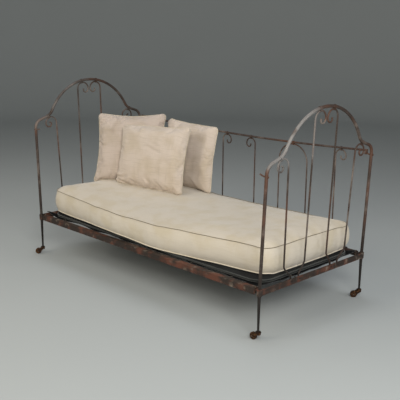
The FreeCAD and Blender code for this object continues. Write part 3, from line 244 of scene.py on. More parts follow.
@dataclass(frozen=True)
class AgedIron(Finish):
    """Hand-forged wrought iron, its paint long gone: a dark oxide skin, flat and slightly rough, with
    warm rust breaking through in patches, a dull grey sheen where storage has rubbed it, a painted highlight
    of clean grey metal on the tops and fronts of the arches, the right one most, and painted shade that
    darkens the iron towards the floor."""

    name: str
    skin: str = "#52443c"
    dark: str = "#332a25"
    rust: str = "#5f4336"
    worn: str = "#80756d"
    # Colour of the painted highlight on the arches.
    bare_highlight: str = "#8b8784"
    # Painted shade: the colour the iron darkens to towards the floor.
    grime_and_shade: str = "#1f1a17"
    rust_from: float = 0.47
    worn_from: float = 0.5
    # Height where that painted shade begins.
    floor_shade_top: float = 0.6
    patch_mm: float = 190.0
    scale_mm: float = 5.0
    dent_mm: float = 16.0

    def make(self) -> bpy.types.Material:
        """Builds the material."""
        material, tree, shader = self.begin(self.name)
        place = self.place(tree, Grain.OBJECT)
        patch = self.cells(tree, place, (self.patch_mm,) * 3, 4.0)
        scale = self.cells(tree, place, (self.scale_mm,) * 3, 6.0)
        # Noise for the real worn patches, and for the patches of the painted highlight below.
        rubbed = self.cells(tree, place, (self.patch_mm * 0.6,) * 3, 6.0)
        dents = self.cells(tree, place, (self.dent_mm,) * 3, 2.0)
        tone = self.blend(tree, self.ramp(tree, scale, 0.3, 0.7), self.dark, self.skin)
        rust_share = self.ramp(tree, patch, self.rust_from, self.rust_from + 0.2)
        tone = self.blend(tree, rust_share, tone, self.rust)
        worn_share = self.ramp(tree, rubbed, self.worn_from, self.worn_from + 0.22)
        tone = self.blend(tree, worn_share, tone, self.worn)
        # Painted highlight: clean grey metal on the tops and camera-facing fronts of the arches, more towards
        # the right end, broken into patches by the wear noise.
        spot = add_node(tree, "ShaderNodeSeparateXYZ", links={"Vector": place})
        high = self.ramp(tree, spot.outputs["Z"], 0.80, 0.90)
        front = self.ramp(tree, spot.outputs["Y"], 0.0, -0.16)
        side = add_node(tree, "ShaderNodeMapRange", {"From Min": -0.9, "From Max": 0.9, "To Min": 0.4},
                        {"Value": spot.outputs["X"]})
        held = self.ramp(tree, rubbed, 0.3, 0.5)
        for share in (high, front, side):
            held = add_node(tree, "ShaderNodeMath", {"operation": "MULTIPLY"}, {0: held, 1: share})
        tone = self.blend(tree, held, tone, self.bare_highlight)
        # Painted shade: the iron darkens from that height down to 0.12 m, standing in for the dim light under
        # the bed.
        tone = self.blend(tree, self.ramp(tree, spot.outputs["Z"], self.floor_shade_top, 0.12), tone, self.grime_and_shade)
        tree.links.new(tone, shader.inputs["Base Color"])
        rough = add_node(tree, "ShaderNodeMapRange", {"To Min": 0.5, "To Max": 0.78}, {"Value": scale})
        tree.links.new(rough.outputs[0], shader.inputs["Roughness"])
        shader.inputs["Metallic"].default_value = 0.35
        pits = add_node(tree, "ShaderNodeBump", {"Strength": 0.5, "Distance": 0.4 * MM}, {"Height": scale})
        hammer = add_node(tree, "ShaderNodeBump", {"Strength": 0.6, "Distance": 0.8 * MM},
                          {"Height": dents, "Normal": pits})
        tree.links.new(hammer.outputs[0], shader.inputs["Normal"])
        return material


@dataclass(frozen=True)
class OldMetal(Finish):
    """Small turned and stamped metal: castor brass gone brown, and dull steel of bolts, hooks and pins.
    Bare metal shows only where parts rub, so it is half metallic and streaked with grime."""

    name: str
    bright: str
    grime_and_shade: str
    grime_from: float = 0.42
    rough: float = 0.42

    def make(self) -> bpy.types.Material:
        """Builds the material."""
        material, tree, shader = self.begin(self.name)
        place = self.place(tree, Grain.OBJECT)
        grime_and_shade = self.cells(tree, place, (9.0, 9.0, 9.0), 6.0)
        specks = self.cells(tree, place, (2.0, 2.0, 2.0), 4.0)
        share = self.ramp(tree, grime_and_shade, self.grime_from, self.grime_from + 0.18)
        tone = self.blend(tree, share, self.bright, self.grime_and_shade)
        tree.links.new(tone, shader.inputs["Base Color"])
        rough = add_node(tree, "ShaderNodeMapRange", {"To Min": self.rough, "To Max": self.rough + 0.3},
                         {"Value": share.outputs[0]})
        tree.links.new(rough.outputs[0], shader.inputs["Roughness"])
        shader.inputs["Metallic"].default_value = 0.75
        bump = add_node(tree, "ShaderNodeBump", {"Strength": 0.4, "Distance": 0.2 * MM}, {"Height": specks})
        tree.links.new(bump.outputs[0], shader.inputs["Normal"])
        return material


@dataclass(frozen=True)
class WovenCloth(Finish):
    """Plain-woven cloth: matt, with thicker slub threads both ways, faint stains and a soft fuzz of fibres
    that lightens it at grazing angles. The thread spacing is drawn three times as coarse as the real
    0.8 mm of linen, so that it shows."""

    name: str
    light: str
    shade: str
    slub: str
    grain: Grain = Grain.CLOTH
    thread_mm: float = 2.4
    slub_share: float = 0.35
    stain_mm: float = 130.0
    rumple: float = 1.2
    sheen: float = 0.25
    gloss: float = 0.25

    def make(self) -> bpy.types.Material:
        """Builds the material."""
        material, tree, shader = self.begin(self.name)
        place = self.place(tree, self.grain)
        stain = self.cells(tree, place, (self.stain_mm,) * 3, 4.0)
        weft = self.cells(tree, place, (120.0, 4.5, 60.0), 2.0)
        warp = self.cells(tree, place, (4.5, 160.0, 60.0), 2.0)
        rumples = self.cells(tree, place, (48.0, 30.0, 40.0), 3.0)
        tone = self.blend(tree, self.ramp(tree, stain, 0.42, 0.66), self.light, self.shade)
        threads = add_node(tree, "ShaderNodeMath", {"operation": "MAXIMUM"},
                           {0: self.ramp(tree, weft, 0.5, 0.72), 1: self.ramp(tree, warp, 0.56, 0.76)})
        some = add_node(tree, "ShaderNodeMath", {"operation": "MULTIPLY", 1: self.slub_share}, {0: threads})
        tone = self.blend(tree, some, tone, self.slub)
        tree.links.new(tone, shader.inputs["Base Color"])
        shader.inputs["Roughness"].default_value = 0.92
        shader.inputs["Specular IOR Level"].default_value = self.gloss
        shader.inputs["Sheen Weight"].default_value = self.sheen
        shader.inputs["Sheen Roughness"].default_value = 0.5
        pitch = 1 / (self.thread_mm * MM)
        fine = add_node(tree, "ShaderNodeMapping", {"Scale": (pitch, pitch, pitch)}, {"Vector": place})
        over, under = (add_node(tree, "ShaderNodeTexWave", {"bands_direction": way, "Scale": ONE_WAVE,
                                                            "Distortion": 1.2, "Detail": 1.0},
                                {"Vector": fine}).outputs["Fac"] for way in "XY")
        weave = add_node(tree, "ShaderNodeMath", {"operation": "ADD"}, {0: over, 1: under})
        soft = add_node(tree, "ShaderNodeBump", {"Strength": 0.7, "Distance": self.rumple * MM},
                        {"Height": rumples})
        slubs = add_node(tree, "ShaderNodeBump", {"Strength": 0.5, "Distance": 0.5 * MM},
                         {"Height": threads, "Normal": soft})
        cloth = add_node(tree, "ShaderNodeBump", {"Strength": 0.35, "Distance": 0.3 * MM},
                         {"Height": weave, "Normal": slubs})
        tree.links.new(cloth.outputs[0], shader.inputs["Normal"])
        return material


@dataclass(frozen=True)
class Paint(Finish):
    """Plain matt studio paint for the floor and the backdrop."""

    name: str
    colour: str
    rough: float = 0.7

    def make(self) -> bpy.types.Material:
        """Builds the material."""
        material, tree, shader = self.begin(self.name)
        place = self.place(tree, Grain.OBJECT)
        clouds = self.cells(tree, place, (900.0, 900.0, 900.0), 2.0)
        faint = add_node(tree, "ShaderNodeMapRange", {"To Min": 0.0, "To Max": 0.12}, {"Value": clouds})
        tone = self.blend(tree, faint, self.colour, "#9da2a2")
        tree.links.new(tone, shader.inputs["Base Color"])
        shader.inputs["Roughness"].default_value = self.rough
        return material


# ---------------------------------------------------------------- meshes

def mesh_of(name: str, points: np.ndarray, faces: list[tuple[int, ...]], cloth: np.ndarray | None,
            material: bpy.types.Material) -> bpy.types.Object:
    """Makes an object with its place in its mesh.

    Args:
        name: the piece's name.
        points: vertices in metres.
        faces: vertex numbers of each face, anticlockwise from outside.
        cloth: for each face corner, its place in the flat cloth in metres.
        material: the piece's finish.

    Returns:
        The object, linked to the scene.
    """
    mesh = bpy.data.meshes.new(name)
    mesh.from_pydata([tuple(point) for point in points], [], faces)
    if cloth is not None:
        layer = mesh.uv_layers.new(name="Weave")
        layer.data.foreach_set("uv", cloth.astype(np.float32).ravel())
    mesh.shade_smooth()
    mesh.materials.append(material)
    return put_in_scene(name, mesh)


def points_of(piece: bpy.types.Object) -> np.ndarray:
    """Vertices of a mesh as an array."""
    flat = np.zeros(len(piece.data.vertices) * 3, np.float32)
    piece.data.vertices.foreach_get("co", flat)
    return flat.reshape(-1, 3).astype(float)


def put_points(piece: bpy.types.Object, points: np.ndarray) -> None:
    """Writes an array back to the vertices of a mesh."""
    piece.data.vertices.foreach_set("co", points.astype(np.float32).ravel())
    piece.data.update()


def run_along(line: np.ndarray) -> np.ndarray:
    """Distance along a polyline from its start to each of its points."""
    return np.concatenate([[0.0], np.cumsum(np.linalg.norm(np.diff(line, axis=0), axis=1))])


def along_line(line: np.ndarray, count: int) -> np.ndarray:
    """Evenly spaced points along a polyline, both ends included."""
    run = run_along(line)
    wanted = np.linspace(0.0, run[-1], count + 1)
    return np.stack([np.interp(wanted, run, line[:, axis]) for axis in range(line.shape[1])], axis=1)


def evened(loop: np.ndarray) -> np.ndarray:
    """A closed loop with each point moved halfway to the middle of its neighbours."""
    return 0.5 * loop + 0.25 * (np.roll(loop, 1, axis=0) + np.roll(loop, -1, axis=0))


def outline_at(node: str, height: float) -> np.ndarray:
    """Closed outline of a CAD solid at a height, anticlockwise.

    Args:
        node: the CAD node.
        height: level in metres, one of its edge levels.

    Returns:
        Points (x, y), the first one repeated at the end.
    """
    points = points_of(frame["nodes"][node])
    level = points[np.abs(points[:, 2] - height) < 0.2 * MM, :2]
    middle = (level.min(axis=0) + level.max(axis=0)) / 2
    turn = np.arctan2(level[:, 1] - middle[1], level[:, 0] - middle[0])
    ring = level[np.argsort(turn)]
    keep = np.linalg.norm(ring - np.roll(ring, 1, axis=0), axis=1) > 0.3 * MM
    ring = ring[keep]
    return np.vstack([ring, ring[:1]])


class Patch:
    """A grid of points that fills a closed outline with four corners."""

    def __init__(self, outline: np.ndarray, across: int, deep: int) -> None:
        """Splits the outline into four sides and fills it.

        Args:
            outline: closed loop of (x, y), anticlockwise.
            across: cells along x.
            deep: cells along y.
        """
        self.across, self.deep = across, deep
        dense = along_line(outline, 4000)[:-1]
        middle = (dense.min(axis=0) + dense.max(axis=0)) / 2
        half = (dense.max(axis=0) - dense.min(axis=0)) / 2
        unit = (dense - middle) / half
        found = [int(np.argmax(unit @ np.array(way))) for way in CORNER_WAYS]
        sides = []
        for number, begin in enumerate(found):
            end = found[(number + 1) % 4]
            line = dense[begin:end + 1] if end > begin else np.vstack([dense[begin:], dense[:end + 1]])
            sides.append(along_line(line, across if number % 2 == 0 else deep))
        self.flat = self.spread(np.vstack([side[:-1] for side in sides]))

    def spread(self, values: np.ndarray) -> np.ndarray:
        """Fills the grid smoothly from values on its rim.

        Args:
            values: one row for each rim point, in the order of rim().

        Returns:
            One row for each grid point, front row first.
        """
        ring = np.vstack([values, values[:1]])
        stops = np.cumsum([0, self.across, self.deep, self.across, self.deep])
        near, right, far, left = (ring[stops[number]:stops[number + 1] + 1] for number in range(4))
        far, left = far[::-1], left[::-1]
        u = np.linspace(0, 1, self.across + 1)[None, :, None]
        v = np.linspace(0, 1, self.deep + 1)[:, None, None]
        rows = (1 - v) * near[None] + v * far[None]
        columns = (1 - u) * left[:, None] + u * right[:, None]
        corners = ((1 - u) * (1 - v) * near[0] + u * (1 - v) * near[-1]
                   + (1 - u) * v * far[0] + u * v * far[-1])
        return (rows + columns - corners).reshape(-1, values.shape[1])

    def outward(self) -> np.ndarray:
        """Unit direction out of the outline at each rim point."""
        rim = self.flat[self.rim()]
        step = np.roll(rim, -1, axis=0) - np.roll(rim, 1, axis=0)
        out = np.column_stack([step[:, 1], -step[:, 0]])
        return out / np.linalg.norm(out, axis=1)[:, None]

    def depth(self) -> np.ndarray:
        """Distance of each grid point from the outline."""
        rim = self.flat[self.rim()]
        return np.min(np.linalg.norm(self.flat[:, None, :] - rim[None, ::2, :], axis=2), axis=1)

    def rim(self) -> list[int]:
        """Numbers of the outline's points in the grid, anticlockwise from the front left corner."""
        width = self.across + 1
        near = list(range(self.across))
        right = [row * width + self.across for row in range(self.deep)]
        far = [self.deep * width + column for column in range(self.across, 0, -1)]
        left = [row * width for row in range(self.deep, 0, -1)]
        return near + right + far + left

    def inner(self) -> list[int]:
        """Numbers of the grid points that aren't on the outline."""
        return sorted(set(range(len(self.flat))) - set(self.rim()))

    def cells(self) -> list[tuple[int, int, int, int]]:
        """Faces of the grid, seen from above."""
        width = self.across + 1
        return [(row * width + column, row * width + column + 1,
                 (row + 1) * width + column + 1, (row + 1) * width + column)
                for row in range(self.deep) for column in range(self.across)]


class Cover:
    """Closed cover of a stuffed piece: a top panel and a bottom panel, sewn together or to a side band."""

    def __init__(self, patch: Patch, top: np.ndarray, bottom: np.ndarray, band: np.ndarray | None) -> None:
        """Joins the panels.

        Args:
            patch: the panels' grid.
            top: points of the top panel, one for each grid point.
            bottom: points of the bottom panel.
            band: loops of points between the bottom rim and the top rim, or None for a knife edge.
        """
        rim = patch.rim()
        flat = patch.flat
        cells = patch.cells()
        low = len(top)
        if band is None:
            inner = patch.inner()
            renamed = {old: low + new for new, old in enumerate(inner)}
            renamed.update({number: number for number in rim})
            self.points = np.vstack([top, bottom[inner]])
            self.origin = np.array(list(range(low)) + inner)
            low_cells = [tuple(renamed[number] for number in cell[::-1]) for cell in cells]
            side_faces, side_cloth = [], []
        else:
            self.points = np.vstack([top, bottom, band.reshape(-1, 3)])
            self.origin = np.array(list(range(low)) * 2 + rim * len(band))
            low_cells = [tuple(low + number for number in cell[::-1]) for cell in cells]
            side_faces, side_cloth = self.side(patch, len(band))
        top_cloth = [flat[list(cell)] for cell in cells]
        low_cloth = [flat[list(cell[::-1])] + LOW_CLOTH_SHIFT for cell in cells]
        self.faces = list(cells) + low_cells + side_faces
        self.cloth = np.vstack(top_cloth + low_cloth + side_cloth)
        self.top_rim = rim
        self.low_rim = rim if band is None else [low + number for number in rim]

    def side(self, patch: Patch, rows: int) -> tuple[list[tuple[int, ...]], list[np.ndarray]]:
        """Faces of the side band, from the bottom rim up.

        Args:
            patch: the panels' grid.
            rows: loops of points between the two rims.

        Returns:
            The faces, and each face's corners in the band's flat strip.
        """
        rim = patch.rim()
        count, low = len(rim), len(patch.flat)
        loops = [[low + number for number in rim]]
        loops += [[2 * low + row * count + place for place in range(count)] for row in range(rows)]
        loops += [rim]
        around = run_along(np.vstack([patch.flat[rim], patch.flat[rim[:1]]]))
        heights = [self.points[loop[0]][2] for loop in loops]
        faces, cloth = [], []
        for row, (lower, upper) in enumerate(zip(loops, loops[1:])):
            for place in range(count):
                onward = (place + 1) % count
                faces.append((lower[place], lower[onward], upper[onward], upper[place]))
                cloth.append(np.array([(around[place], heights[row]), (around[place + 1], heights[row]),
                                       (around[place + 1], heights[row + 1]),
                                       (around[place], heights[row + 1])]))
        return faces, cloth

    def piece(self, name: str, material: bpy.types.Material) -> bpy.types.Object:
        """Makes the cover's object."""
        return mesh_of(name, self.points, self.faces, self.cloth, material)


@dataclass(frozen=True)
class Filling:
    """How the filling blows a cover up.

    pressure pushes the cloth out, reach is the furthest that a point may go, in metres, and tension and
    bending are how stiff the cloth is."""

    pressure: float
    reach: float
    tension: float
    bending: float


class Workshop:
    """Blows all the covers up together in one run of the cloth solver."""

    steps: int = 20

    def __init__(self) -> None:
        """Starts with no covers."""
        self.jobs: list[tuple[bpy.types.Object, Filling]] = []

    def take(self, piece: bpy.types.Object, filling: Filling, held: list[int] | None = None) -> None:
        """Adds a cover.

        Args:
            piece: the cover.
            filling: how it is filled.
            held: numbers of the points that stay where they are.
        """
        cloth = piece.modifiers.new("Filling", "CLOTH")
        made = cloth.settings
        made.quality = 6
        made.mass = 0.3
        made.tension_stiffness = filling.tension
        made.compression_stiffness = filling.tension
        made.shear_stiffness = filling.tension / 3
        made.bending_stiffness = filling.bending
        made.use_pressure = True
        made.uniform_pressure_force = filling.pressure
        made.effector_weights.gravity = 0.0
        cloth.collision_settings.use_collision = False
        if held:
            group = piece.vertex_groups.new(name="held")
            group.add(held, 1.0, "REPLACE")
            made.vertex_group_mass = "held"
        self.jobs.append((piece, filling))

    def run(self) -> None:
        """Steps the solver and keeps each result in its piece's own mesh."""
        scene = bpy.context.scene
        for number in range(1, self.steps + 1):
            scene.frame_set(number)
        graph = bpy.context.evaluated_depsgraph_get()
        for piece, filling in self.jobs:
            blown = points_of(piece.evaluated_get(graph))
            start = points_of(piece)
            move = blown - start
            far = np.linalg.norm(move, axis=1)
            move *= (filling.reach * np.tanh(far / filling.reach) / np.maximum(far, 1e-9))[:, None]
            piece.modifiers.clear()
            piece.vertex_groups.clear()
            put_points(piece, start + move)
        scene.frame_set(1)


def finish_soft(piece: bpy.types.Object) -> None:
    """Rounds a soft piece with one more division."""
    division = piece.modifiers.new("Round", "SUBSURF")
    division.levels = division.render_levels = 1


# ---------------------------------------------------------------- repeats along a seam

class SeamTool:
    """A Geometry Nodes tree that follows a line of points, and the run that turns it into a plain mesh."""

    def __init__(self, name: str, sizes: dict[str, float]) -> None:
        """Starts a tree with its named inputs.

        Args:
            name: the tree's name.
            sizes: input names and their usual values, in metres.
        """
        self.tree = bpy.data.node_groups.new(name, "GeometryNodeTree")
        face = self.tree.interface
        face.new_socket("Line", in_out="INPUT", socket_type="NodeSocketGeometry")
        for word, value in sizes.items():
            face.new_socket(word, in_out="INPUT", socket_type="NodeSocketFloat").default_value = value
        face.new_socket("Material", in_out="INPUT", socket_type="NodeSocketMaterial")
        face.new_socket("Geometry", in_out="OUTPUT", socket_type="NodeSocketGeometry")
        self.given = add_node(self.tree, "NodeGroupInput")
        self.curve = add_node(self.tree, "GeometryNodeMeshToCurve",
                              links={"Mesh": self.given.outputs["Line"]})

    def close(self, last: bpy.types.Node) -> None:
        """Ends the tree with real geometry and its material."""
        real = add_node(self.tree, "GeometryNodeRealizeInstances", links={"Geometry": last})
        even = add_node(self.tree, "GeometryNodeSetShadeSmooth", links={"Geometry": real})
        dressed = add_node(self.tree, "GeometryNodeSetMaterial",
                           links={"Geometry": even, "Material": self.given.outputs["Material"]})
        add_node(self.tree, "NodeGroupOutput", links={"Geometry": dressed})

    def run(self, name: str, loops: list[np.ndarray], material: bpy.types.Material,
            sizes: dict[str, float]) -> bpy.types.Object:
        """Runs the tree along closed lines.

        Args:
            name: the new piece's name.
            loops: each line's points.
            material: the piece's finish.
            sizes: values of the named inputs.

        Returns:
            A plain mesh object.
        """
        points = np.vstack(loops)
        edges = []
        base = 0
        for loop in loops:
            count = len(loop)
            edges += [(base + place, base + (place + 1) % count) for place in range(count)]
            base += count
        mesh = bpy.data.meshes.new(name + "_line")
        mesh.from_pydata([tuple(point) for point in points], edges, [])
        piece = put_in_scene(name, mesh)
        modifier = piece.modifiers.new("Seam", "NODES")
        modifier.node_group = self.tree
        values = {**sizes, "Material": material}
        for socket in self.tree.interface.items_tree:
            if socket.in_out == "INPUT" and socket.name in values:
                modifier[socket.identifier] = values[socket.name]
        graph = bpy.context.evaluated_depsgraph_get()
        result = bpy.data.meshes.new_from_object(piece.evaluated_get(graph), depsgraph=graph)
        result.name = name
        piece.modifiers.clear()
        piece.data = result
        return piece


class CordingTool(SeamTool):
    """A round cord sewn into a seam."""

    def __init__(self) -> None:
        """Builds the tree."""
        super().__init__("Cording", {"Radius": 2 * MM})
        ring = add_node(self.tree, "GeometryNodeCurvePrimitiveCircle", {"Resolution": 8},
                        {"Radius": self.given.outputs["Radius"]})
        tube = add_node(self.tree, "GeometryNodeCurveToMesh", {"Fill Caps": True},
                        {"Curve": self.curve, "Profile Curve": ring})
        self.close(tube)


@cache
def cording_tool() -> CordingTool:
    """The cording tree, built the first time a seam needs it."""
    return CordingTool()


class StitchTool(SeamTool):
    """Short stitches laid end to end along a seam."""

    def __init__(self) -> None:
        """Builds the tree."""
        super().__init__("Stitches", {"Pitch": 8 * MM, "Length": 5 * MM, "Thickness": 1 * MM})
        spaced = add_node(self.tree, "GeometryNodeResampleCurve", {"mode": "LENGTH"},
                          {"Curve": self.curve, "Length": self.given.outputs["Pitch"]})
        tangent = add_node(self.tree, "GeometryNodeInputTangent")
        aim = add_node(self.tree, "FunctionNodeAlignRotationToVector", {"axis": "Z"}, {"Vector": tangent})
        thread = add_node(self.tree, "GeometryNodeMeshIcoSphere", {"Radius": 0.5, "Subdivisions": 1})
        size = add_node(self.tree, "ShaderNodeCombineXYZ", links={0: self.given.outputs["Thickness"],
                                                                  1: self.given.outputs["Thickness"],
                                                                  2: self.given.outputs["Length"]})
        laid = add_node(self.tree, "GeometryNodeInstanceOnPoints",
                        links={"Points": spaced, "Instance": thread.outputs["Mesh"], "Rotation": aim,
                               "Scale": size})
        self.close(laid)


# ---------------------------------------------------------------- palette

class Palette:
    """All the finishes of the daybed, by material slot."""

    def __init__(self) -> None:
        """Builds every material once."""
        self.slots = {
            "wrought_iron": AgedIron("Wrought iron, dark oxide").make(),
            "gallery_iron": AgedIron("Wrought iron, rubbed", skin="#564640", worn_from=0.48).make(),
            "angle_iron": AgedIron("Angle iron, rusted", skin="#42352d", dark="#28211e", rust="#673f30",
                                   rust_from=0.45, worn="#85786b", worn_from=0.55, floor_shade_top=0.14,
                                   patch_mm=60.0).make(),
            "bolt_steel": OldMetal("Mild steel, stained", "#7a6c5e", "#3b2c24").make(),
            "castor_horn": OldMetal("Cast brass, browned", "#6b4a2c", "#35241b", 0.34).make(),
            "castor_wheel": OldMetal("Turned brass, browned", "#7a5632", "#3a271d", 0.36).make(),
            "hook_wire": OldMetal("Drawn wire, dull", "#6d675f", "#3a322c").make(),
            "canvas": WovenCloth("Cotton canvas, black", "#0e0f10", "#151617", "#1e1f20", thread_mm=3.0,
                                 sheen=0.01, gloss=0.08, slub_share=0.25).make(),
            "pad_cloth": WovenCloth("Felted pad cloth, charcoal", "#1d1e1f", "#242627", "#2d2f2f",
                                    slub_share=0.25, sheen=0.02, gloss=0.08).make(),
            "mattress_linen": WovenCloth("Washed linen, mattress", "#d0c6b6", "#cabea8", "#bbb09c",
                                         slub_share=0.22, rumple=1.6).make(),
            "cushion_linen": WovenCloth("Washed linen, cushions", "#cfc1b4", "#c6b7a5", "#ab9e8d",
                                        slub_share=0.4).make(),
            # Painted shade: a darker copy of the cushion linen for the left cushion, which gets less light
            # than the others.
            "shaded_cushion_linen": WovenCloth("Washed linen, shaded cushion", "#c5b6aa", "#bbac9c", "#a29485",
                                     slub_share=0.4).make(),
        }
        # Painted shade: the upper cord is coloured far darker than the mattress linen to draw the shadow
        # along the top seam.
        self.seam_shade_cord = self.trim("Linen cording, mattress", "#8f8470", "#837863", "#746a58")
        self.cushion_cord = self.trim("Linen cording, cushions", "#c9bfac", "#bdb198", "#a89c86")
        # Painted highlight: the lower piping is paler than the mattress linen it is made of, for the light
        # line along the bottom edge.
        self.piping = self.trim("Linen piping, mattress", "#e2d8c6", "#d8ccb6", "#cabda6")
        # Binding tape, coloured lighter than the pad: partly a painted highlight along the rolled edge.
        self.pad_edge = self.trim("Cotton tape, pad edge", "#3c3e3b", "#343634", "#2c2e2c", slubs=0.3)
        self.thread = self.trim("Linen thread", "#c2b7a2", "#b8ac95", "#a99d87", rumple=0.2)
        self.black_thread = self.trim("Cotton thread, black", "#141516", "#1a1b1c", "#222324", rumple=0.2)

    def trim(self, name: str, light: str, shade: str, slub: str, slubs: float = 0.2,
             rumple: float = 0.3) -> bpy.types.Material:
        """Builds the cloth of a cord, tape or thread, which has no flat pattern to follow.

        Args:
            name: the material's name.
            light: colour of clean cloth.
            shade: colour of its stains.
            slub: colour of its thick threads.
            slubs: how much the thick threads show.
            rumple: height of its creases in millimetres.

        Returns:
            The material.
        """
        return WovenCloth(name, light, shade, slub, grain=Grain.OBJECT, slub_share=slubs,
                          rumple=rumple).make()


class Ironwork:
    """The arched ends, rails, gallery, castors and small metal, which keep their CAD shapes."""

    def __init__(self, palette: Palette) -> None:
        """Keeps the finishes."""
        self.palette = palette

    def dress(self) -> int:
        """Gives every metal piece the finish of its slot.

        Returns:
            The number of pieces dressed.
        """
        parts = frame["record"]["subparts"]
        for part in parts:
            piece = frame["nodes"][part["node"]]
            slot = "angle_iron" if part["node"].endswith("end_rail") else part["material_slot"]
            piece.data.materials.clear()
            piece.data.materials.append(self.palette.slots[slot])
        return len(parts)


# ---------------------------------------------------------------- sling

@dataclass(frozen=True)
class Slump:
    """How the canvas, and all that lies on it, sinks between the ends of the bed."""

    depth: float = 8 * MM
    half_length: float = 0.9

    def at(self, points: np.ndarray) -> np.ndarray:
        """Sinking at each point, from its x."""
        return self.depth * np.clip(1 - (points[:, 0] / self.half_length) ** 2, 0, 1)


@dataclass
class Sling:
    """Black canvas laced to the rails by its hooked tips, with hollow edges between them."""

    palette: Palette
    slump: Slump
    hooks: int = 6
    hook_pitch: float = 293 * MM
    end_hook_place: float = 165.5 * MM
    corner_inset: float = 26 * MM
    long_hollow: float = 30 * MM
    end_hollow: float = 4 * MM
    wall: float = 1.6 * MM
    fold: float = 5 * MM
    ray_reach: float = 0.09
    loose_reach: float = 0.045
    hem: float = 1.6 * MM
    ear: float = 30 * MM

    def tips(self) -> np.ndarray:
        """Tips of the sling, anticlockwise from the front left corner."""
        _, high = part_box("sling")
        corner_x = high.x - self.corner_inset
        places = [(number - (self.hooks - 1) / 2) * self.hook_pitch for number in range(self.hooks)]
        front = [(x, -high.y) for x in (-corner_x, *places, corner_x)]
        half = front + [(high.x, way * self.end_hook_place) for way in (-1, 1)]
        return np.array(half + [(-x, -y) for x, y in half])

    def outline(self) -> np.ndarray:
        """Hollow-edged outline as a closed polyline."""
        tips = self.tips()
        line = []
        for number, begin in enumerate(tips):
            end = tips[(number + 1) % len(tips)]
            run = end - begin
            long_side = abs(run[1]) < MM
            hollow = self.long_hollow if long_side else self.end_hollow
            width = self.hook_pitch if long_side else 2 * self.end_hook_place
            length = float(np.linalg.norm(run))
            hollow *= min(1.0, (length / width) ** 2)
            inward = np.array([-run[1], run[0]]) / length
            for share in np.linspace(0, 1, 40, endpoint=False):
                line.append(begin + run * share + inward * hollow * 4 * share * (1 - share))
        line.append(line[0])
        return np.array(line)

    def make(self) -> None:
        _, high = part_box("sling")
        outline = self.outline()
        patch = Patch(outline, 168, 76)
        flat = patch.flat
        tips = self.tips()
        away = np.linalg.norm(flat[:, None] - tips[None], axis=2)
        near = away.argmin(axis=1)
        gap = away.min(axis=1)
        turn = np.arctan2(flat[:, 1] - tips[near, 1], flat[:, 0] - tips[near, 0])
        rays = np.sin(turn * 11 + near * 1.7) * np.exp(-gap / self.ray_reach) * smooth(gap / 0.02)
        edge = np.minimum(high.y - np.abs(flat[:, 1]), high.x - np.abs(flat[:, 0]))
        loose = np.exp(-np.maximum(edge, 0) / self.loose_reach)
        ripples = Waves(5, 0.09).at(laid_flat(flat))
        folds = self.fold * (1 + 0.7 * rays + 0.4 * ripples) * loose * smooth(gap / 0.05)
        top = high.z - self.wall - 0.3 * MM - folds
        top -= self.slump.at(flat) * smooth(edge / 0.09)
        points = np.column_stack([flat, top]) + self.flap(flat)
        cells = patch.cells()
        cloth = np.vstack([flat[list(cell)] for cell in cells])
        piece = mesh_of("sling_canvas", points, cells, cloth, self.palette.slots["canvas"])
        wall = piece.modifiers.new("Cloth", "SOLIDIFY")
        wall.thickness = self.wall
        wall.offset = 1.0
        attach(piece, "frame")
        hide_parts("sling")
        hem = self.sew_hem(points, patch)

    def flap(self, flat: np.ndarray) -> np.ndarray:
        """Ears at the front left and back right corners, where the canvas is pulled towards the posts."""
        _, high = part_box("sling")
        moved = np.zeros((len(flat), 3))
        for way, reach, pull in ((-1, 0.045, (-0.9, -0.2, 0.85)), (1, 0.06, (0.7, 0.7, 0.3))):
            corner = np.array([high.x - self.corner_inset, high.y]) * way
            share = bell(np.linalg.norm(flat - corner, axis=1), reach)
            moved += share[:, None] * np.array(pull) * self.ear
        return moved

    def sew_hem(self, points: np.ndarray, patch: Patch) -> bpy.types.Object:
        """Rolled hem all round the canvas."""
        rim = points[patch.rim()] + upward(self.wall / 2)
        piece = cording_tool().run("sling_hem", [rim], self.palette.black_thread, {"Radius": self.hem})
        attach(piece, "frame")
        return piece


# ---------------------------------------------------------------- pad and mattress

